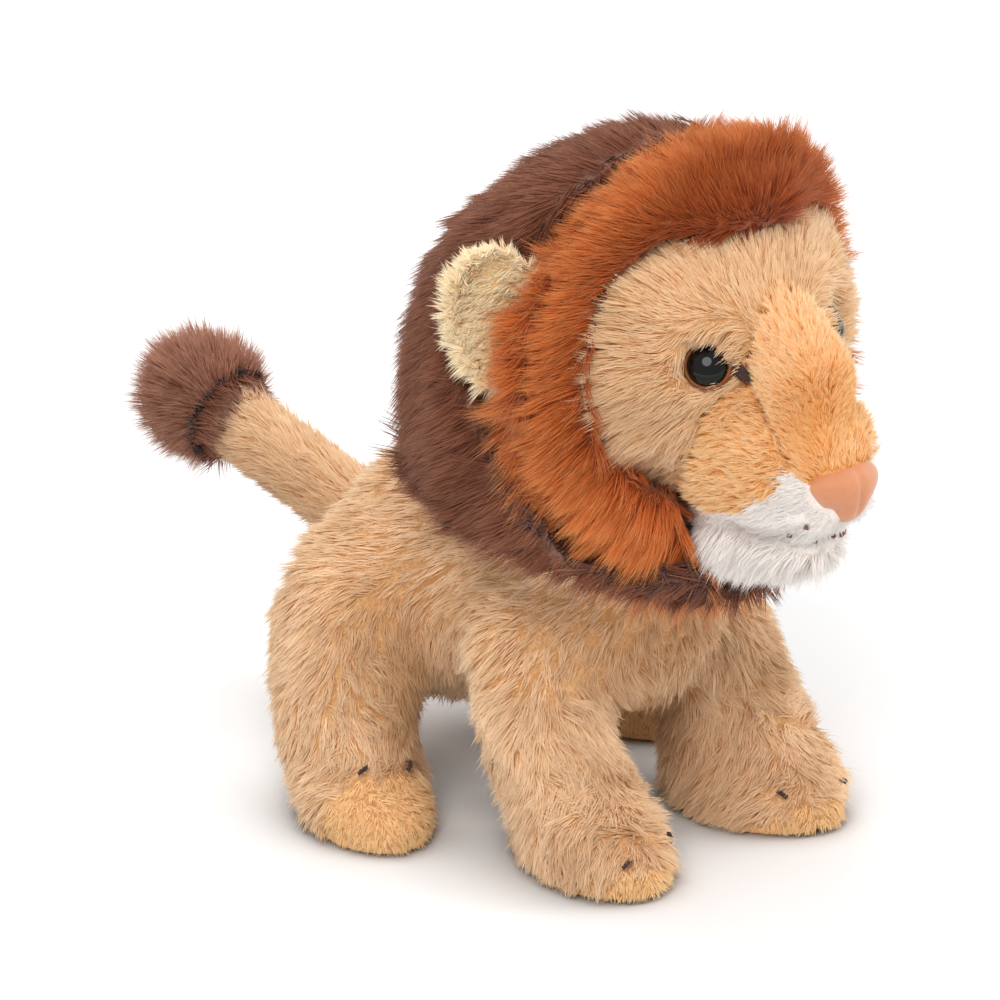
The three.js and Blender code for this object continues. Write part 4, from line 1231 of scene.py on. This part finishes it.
def ring_comb(points, normals):
    """The rust pile lies away from the face, outwards and back."""
    return unit(ring_outward(points)) * 0.9 + np.array([0, 0.85, -0.3]) + 0.14 * swirls(points, 61, 22)


def hood_comb(points, normals):
    return arrows(0.5 * plan(points)[0] / 50, 0.85, -0.75) + 0.2 * swirls(points, 62, 26)


def behind_face(points, normals):
    """1 on the ring but not where it is pressed against the head."""
    inward = np.linalg.norm(ring_outward(points), axis=1)
    return smooth_step(inward + 0.012 * (plan(points)[1] - 5) + 0.12 * over_brow(points), 0.72, 0.81)


def ring_light_and_shade(points, normals):
    """Deep rust by the face, painted shade where the pile's roots lie in shade, and lighter on the outside;
    lighter low down, which is painted light, and darker on top, which is painted shade.
    """
    _, forward, height = plan(points)
    inward = np.linalg.norm(ring_outward(points), axis=1) + 0.01 * (5 - forward)
    by_face = 0.8 * (1 - smooth_step(inward, 0.8, 1.2)) * smooth_step(height, 96, 140)
    low, top = smooth_step(118 - height, 0, 30), smooth_step(height, 140, 165)
    return 0.18 - by_face + 0.22 * low - 0.14 * top


def ring_lifts(points, normals):
    """The pile at the back of the ring lies out over the hood, and does not curl under."""
    return 16 * smooth_step(normals[:, 1], -0.2, 0.5) * smooth_step(150 - plan(points)[2], 0, 25)


def ring_length(points, normals):
    """Longest at the back and low down, where it falls over the hood, and shortest up on the sides."""
    side, _, height = plan(points)
    fringe = smooth_step(normals[:, 1], -0.2, 0.6) * smooth_step(140 - height, 0, 25)
    shoulder = smooth_step(np.abs(side), 6, 22) * smooth_step(height, 140, 154)
    top = smooth_step(height, 156, 166) * (1 - shoulder)
    beside = smooth_step(np.abs(side), 24, 36) * bell((height - 136) / 20)
    return 1 + 0.35 * fringe - 0.2 * shoulder - 0.2 * top - 0.2 * beside


def hood_fold_light(points, normals):
    """Painted light in the fold beside the ring, which lies in shade, and a little darker elsewhere."""
    _, forward, height = plan(points)
    return 0.3 * smooth_step(forward, -22, -8) * smooth_step(110 - height, 0, 20) - 0.2


def behind_ring(points, normals):
    """1 on the hood, but 0 on the part of its front that the ring covers, down to the throat."""
    covered = 1 - smooth_step(np.linalg.norm(ring_outward(points), axis=1), 0.95, 1.1)
    return 1 - covered * smooth_step(-normals[:, 1], 0.2, 0.55) * smooth_step(plan(points)[2], 92, 100)


def hood_length(points, normals):
    """Shorter round the throat, and on top."""
    _, forward, height = plan(points)
    throat = smooth_step(forward, -16, 4) * smooth_step(112 - height, 0, 20)
    return 1 - 0.25 * throat - 0.15 * smooth_step(normals[:, 2], 0.4, 0.9)


def on_side(sign, density):
    """The density on one half of the lion, and 0 on the other."""
    return lambda p, n: density(p, n) * (plan(p)[0] * sign >= 0)


for sign, label in SIDES:
    fur("mane_ring_pile_" + label, ring_skin, "head", "rust", 43000, 11, 0.31, ring_comb,
        70 + sign, raise_root=42, raise_tip=2, group=14, spread=1.7, pull=0.25, unruly=0.08, softness=0.75,
        contrast=0.7, density=on_side(sign, behind_face), lengths=ring_length, tints=ring_light_and_shade,
        lifts=ring_lifts)
    fur("mane_hood_pile_" + label, hood_skin, "head", "brown", 36000, 10, 0.36, hood_comb,
        80 + sign, raise_root=32, raise_tip=4, group=16, spread=2.0, pull=0.3, unruly=0.09, softness=0.7,
        contrast=0.8, density=on_side(sign, behind_ring), lengths=hood_length, tints=hood_fold_light)

# Ear pile


def ear_length(points, normals):
    """Shorter on the upper edge, by the ring."""
    return 1 - 0.45 * smooth_step(plan(points)[2], 148, 156)


def ear_comb(points, normals):
    side, _, height = plan(points)
    return arrows(np.sign(side) * 0.8, 0.4, (height - 138) / 22) + 0.2 * swirls(points, 91, 12)


for _, label in SIDES:
    fur("ear_pile_" + label, ear_skins[label], "ear_" + label, "ear", 11000, 5, 0.4, ear_comb,
        92, raise_root=58, raise_tip=26, group=16, spread=1.3, pull=0.7, unruly=0.2, softness=0.65,
        lengths=ear_length)

# Tail pile

TAIL_ROOT, TAIL_RISE = at(0, -111, 50), math.radians(15)
TAIL_ALONG = np.array([0, math.cos(TAIL_RISE), math.sin(TAIL_RISE)])
TUFT_MIDDLE = np.array(TAIL_ROOT) + TAIL_ALONG * 50 * MM


def dimmer(points, normals):
    return np.full(len(points), -0.3)


def past_root(points, normals):
    """1 on the tail but not where it is sewn to the body."""
    return 1.0 * ((points - np.array(TAIL_ROOT)) @ TAIL_ALONG > -4 * MM)


def along_tail(points, normals):
    return TAIL_ALONG + 0.25 * swirls(points, 101, 12)


def from_tuft(points, normals):
    return unit(points - TUFT_MIDDLE) * 0.6 + TAIL_ALONG * 1.1 + 0.15 * swirls(points, 102, 14)


fur("tail_pile", tail_skin, "tail", "tan", 13000, 5.2, 0.44, along_tail, 103,
    raise_root=42, raise_tip=10, group=10, spread=1.1, unruly=0.16, tints=dimmer, density=past_root)
fur("tail_tuft_pile", tuft_skin, "tail", "tuft", 20000, 8.8, 0.36, from_tuft, 104,
    raise_root=70, raise_tip=52, group=12, spread=1.5, pull=0.3, unruly=0.1, softness=0.6, contrast=0.8)

# Soles: oval pads of the same short pile, crowned at the side and flat where they stand

SOLE_PROFILE = [  # radius and height in millimetres, before the oval is drawn out
    (0.4, 0.0), (8.0, 0.0), (15.4, 0.05), (16.3, 0.3), (16.8, 0.8), (17.0, 1.3), (16.7, 1.9), (16.0, 2.2),
    (0.4, 2.2),
]
SOLE_ROUND, SOLE_SHARE = 17.0, 0.8
for paw, label in ((FORE_PAW, "fore"), (HIND_PAW, "hind")):
    for sign, side_name in SIDES:
        sole = turned(label + "_sole_pad_" + side_name, SOLE_PROFILE)
        node = label + "_sole_" + side_name
        low_corner, high_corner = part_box(node)
        middle = (low_corner + high_corner) / 2
        wide, long = paw[2] * SOLE_SHARE / SOLE_ROUND, paw[3] * SOLE_SHARE / SOLE_ROUND
        turn = Matrix.Rotation(math.radians(paw[4]) * sign, 4, "Z") @ Matrix.Diagonal((wide, long, 1, 1))
        set_in_place(sole, turn, Vector((middle.x, middle.y, 0)))
        dress(sole, SOLE_CLOTH, "body")
        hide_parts(node)

# Safety eyes: a black dome with a brown edge, pressed into the cheek pile

EYE_DOME = [(4.75, -2.2), (4.8, 0.0), (4.75, 0.5)] + [
    (4.75 * math.cos(a), 0.5 + 2.6 * math.sin(a)) for a in np.radians([12, 24, 36, 48, 60, 71, 80, 86])
]
EYE_EDGE = [
    (4.3, -2.2), (5.5, -2.1), (5.7, -0.8), (5.7, 0.1), (5.55, 0.6), (5.2, 0.9), (4.9, 0.8), (4.7, 0.5),
    (4.3, 0.1),
]
for sign, side_name in SIDES:
    turn = eye_outward(sign).to_track_quat("Z", "Y").to_matrix().to_4x4()
    place = at(EYE[0] * sign, EYE[1], EYE[2])
    dome, rim = turned("eye_dome_" + side_name, EYE_DOME), turned("eye_edge_" + side_name, EYE_EDGE)
    for piece, material in ((dome, EYE_BLACK), (rim, EYE_BROWN)):
        set_in_place(piece, turn, place)
        dress(piece, material, "head")
    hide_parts("eye_" + side_name)
    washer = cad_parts["eye_lock_" + side_name]
    washer.data.materials.clear()
    washer.data.materials.append(WASHER_WHITE)

# Nose: a stuffed satin triangle, folded down its middle, with a dent for each nostril


def nose_shape(ball):
    side, forward, up = ball[:, 0], -ball[:, 1], np.sign(ball[:, 2]) * np.abs(ball[:, 2]) ** 0.8
    x = NOSE_HALF[0] * side * (0.66 + 0.34 * up)
    f = NOSE_MIDDLE[1] + NOSE_HALF[1] * forward * (0.85 + 0.15 * up)
    z = NOSE_MIDDLE[2] + NOSE_HALF[2] * up - 1.6 * side**2 * (up > 0) * up
    front = smooth_step(forward, 0.0, 0.5)
    f = f - front * 0.8 * bell(x / 0.8) * smooth_step(up, -1.0, -0.2)
    f = f - 1.6 * bell((np.abs(x) - 6.0) / 2.0, (z - 101.0) / 1.6) * front
    return np.stack([x * MM, -(f + CENTRE_BACK) * MM, z * MM], axis=1)


bpy.ops.object.select_all(action="DESELECT")
bpy.ops.mesh.primitive_uv_sphere_add(segments=72, ring_count=48, radius=1)
nose = bpy.context.object
nose.name = nose.data.name = "nose_satin"
move_places(nose, nose_shape(arrays_of(nose)[1]))
nose.data.shade_smooth()
dress(nose, SATIN, "head")
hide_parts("nose")

# Threads

CLAW_LIFT, CLAW_RISE, CLAW_PLY = 1.2, 0.5, 0.3
MOUTH_LIFT, MOUTH_RISE, MOUTH_PLY = 1.1, 0.3, 0.22
KNOT_STEPS, KNOT_TURN, KNOT_RADIUS = 14, 0.8, 0.4
TEAR_ROWS, TEAR_PITCH, TEAR_STEPS = 6, 0.66, 8

claw_paths = []
for start, end, normal in claws:
    lift = normal * CLAW_LIFT * MM
    claw_paths += plied(start + lift, end + lift, normal, CLAW_RISE, CLAW_PLY)
tubes("claw_stitches", claw_paths, 0.3, THREAD, "body")

knot_paths = []
for place, normal in whiskers:
    aside = normal.orthogonal().normalized()
    across = normal.cross(aside)
    turns = [(0.5 + 0.05 * k, k * KNOT_TURN) for k in range(KNOT_STEPS)]
    knot_paths.append([
        place + normal * MM * up + (aside * math.cos(a) + across * math.sin(a)) * KNOT_RADIUS * MM
        for up, a in turns
    ])
tubes("whisker_knots", knot_paths, 0.3, PALE_THREAD, "head")

mouth_paths = []
for (a, n), (b, _) in zip(mouth, mouth[1:]):
    lift = n * MOUTH_LIFT * MM
    mouth_paths += plied(a + lift, b + lift, n, MOUTH_RISE, MOUTH_PLY)
tubes("mouth_stitch", mouth_paths, 0.26, PALE_THREAD, "head")

tear_paths = []
for (a, n), (b, _) in tears:
    across = (b - a).cross(n).normalized()
    for row in range(TEAR_ROWS):
        off_middle = row - (TEAR_ROWS - 1) / 2
        shift, short = across * off_middle * TEAR_PITCH * MM, abs(off_middle) / TEAR_ROWS * 0.5
        start, end = a.lerp(b, short * 0.6) + shift, a.lerp(b, 1 - short) + shift * 0.6
        shares = [i / TEAR_STEPS for i in range(TEAR_STEPS + 1)]
        tear_paths.append([start.lerp(end, s) + n * MM * (1.9 + 0.7 * math.sin(math.pi * s)) for s in shares])
tubes("tear_stitches", tear_paths, 0.32, THREAD, "head")
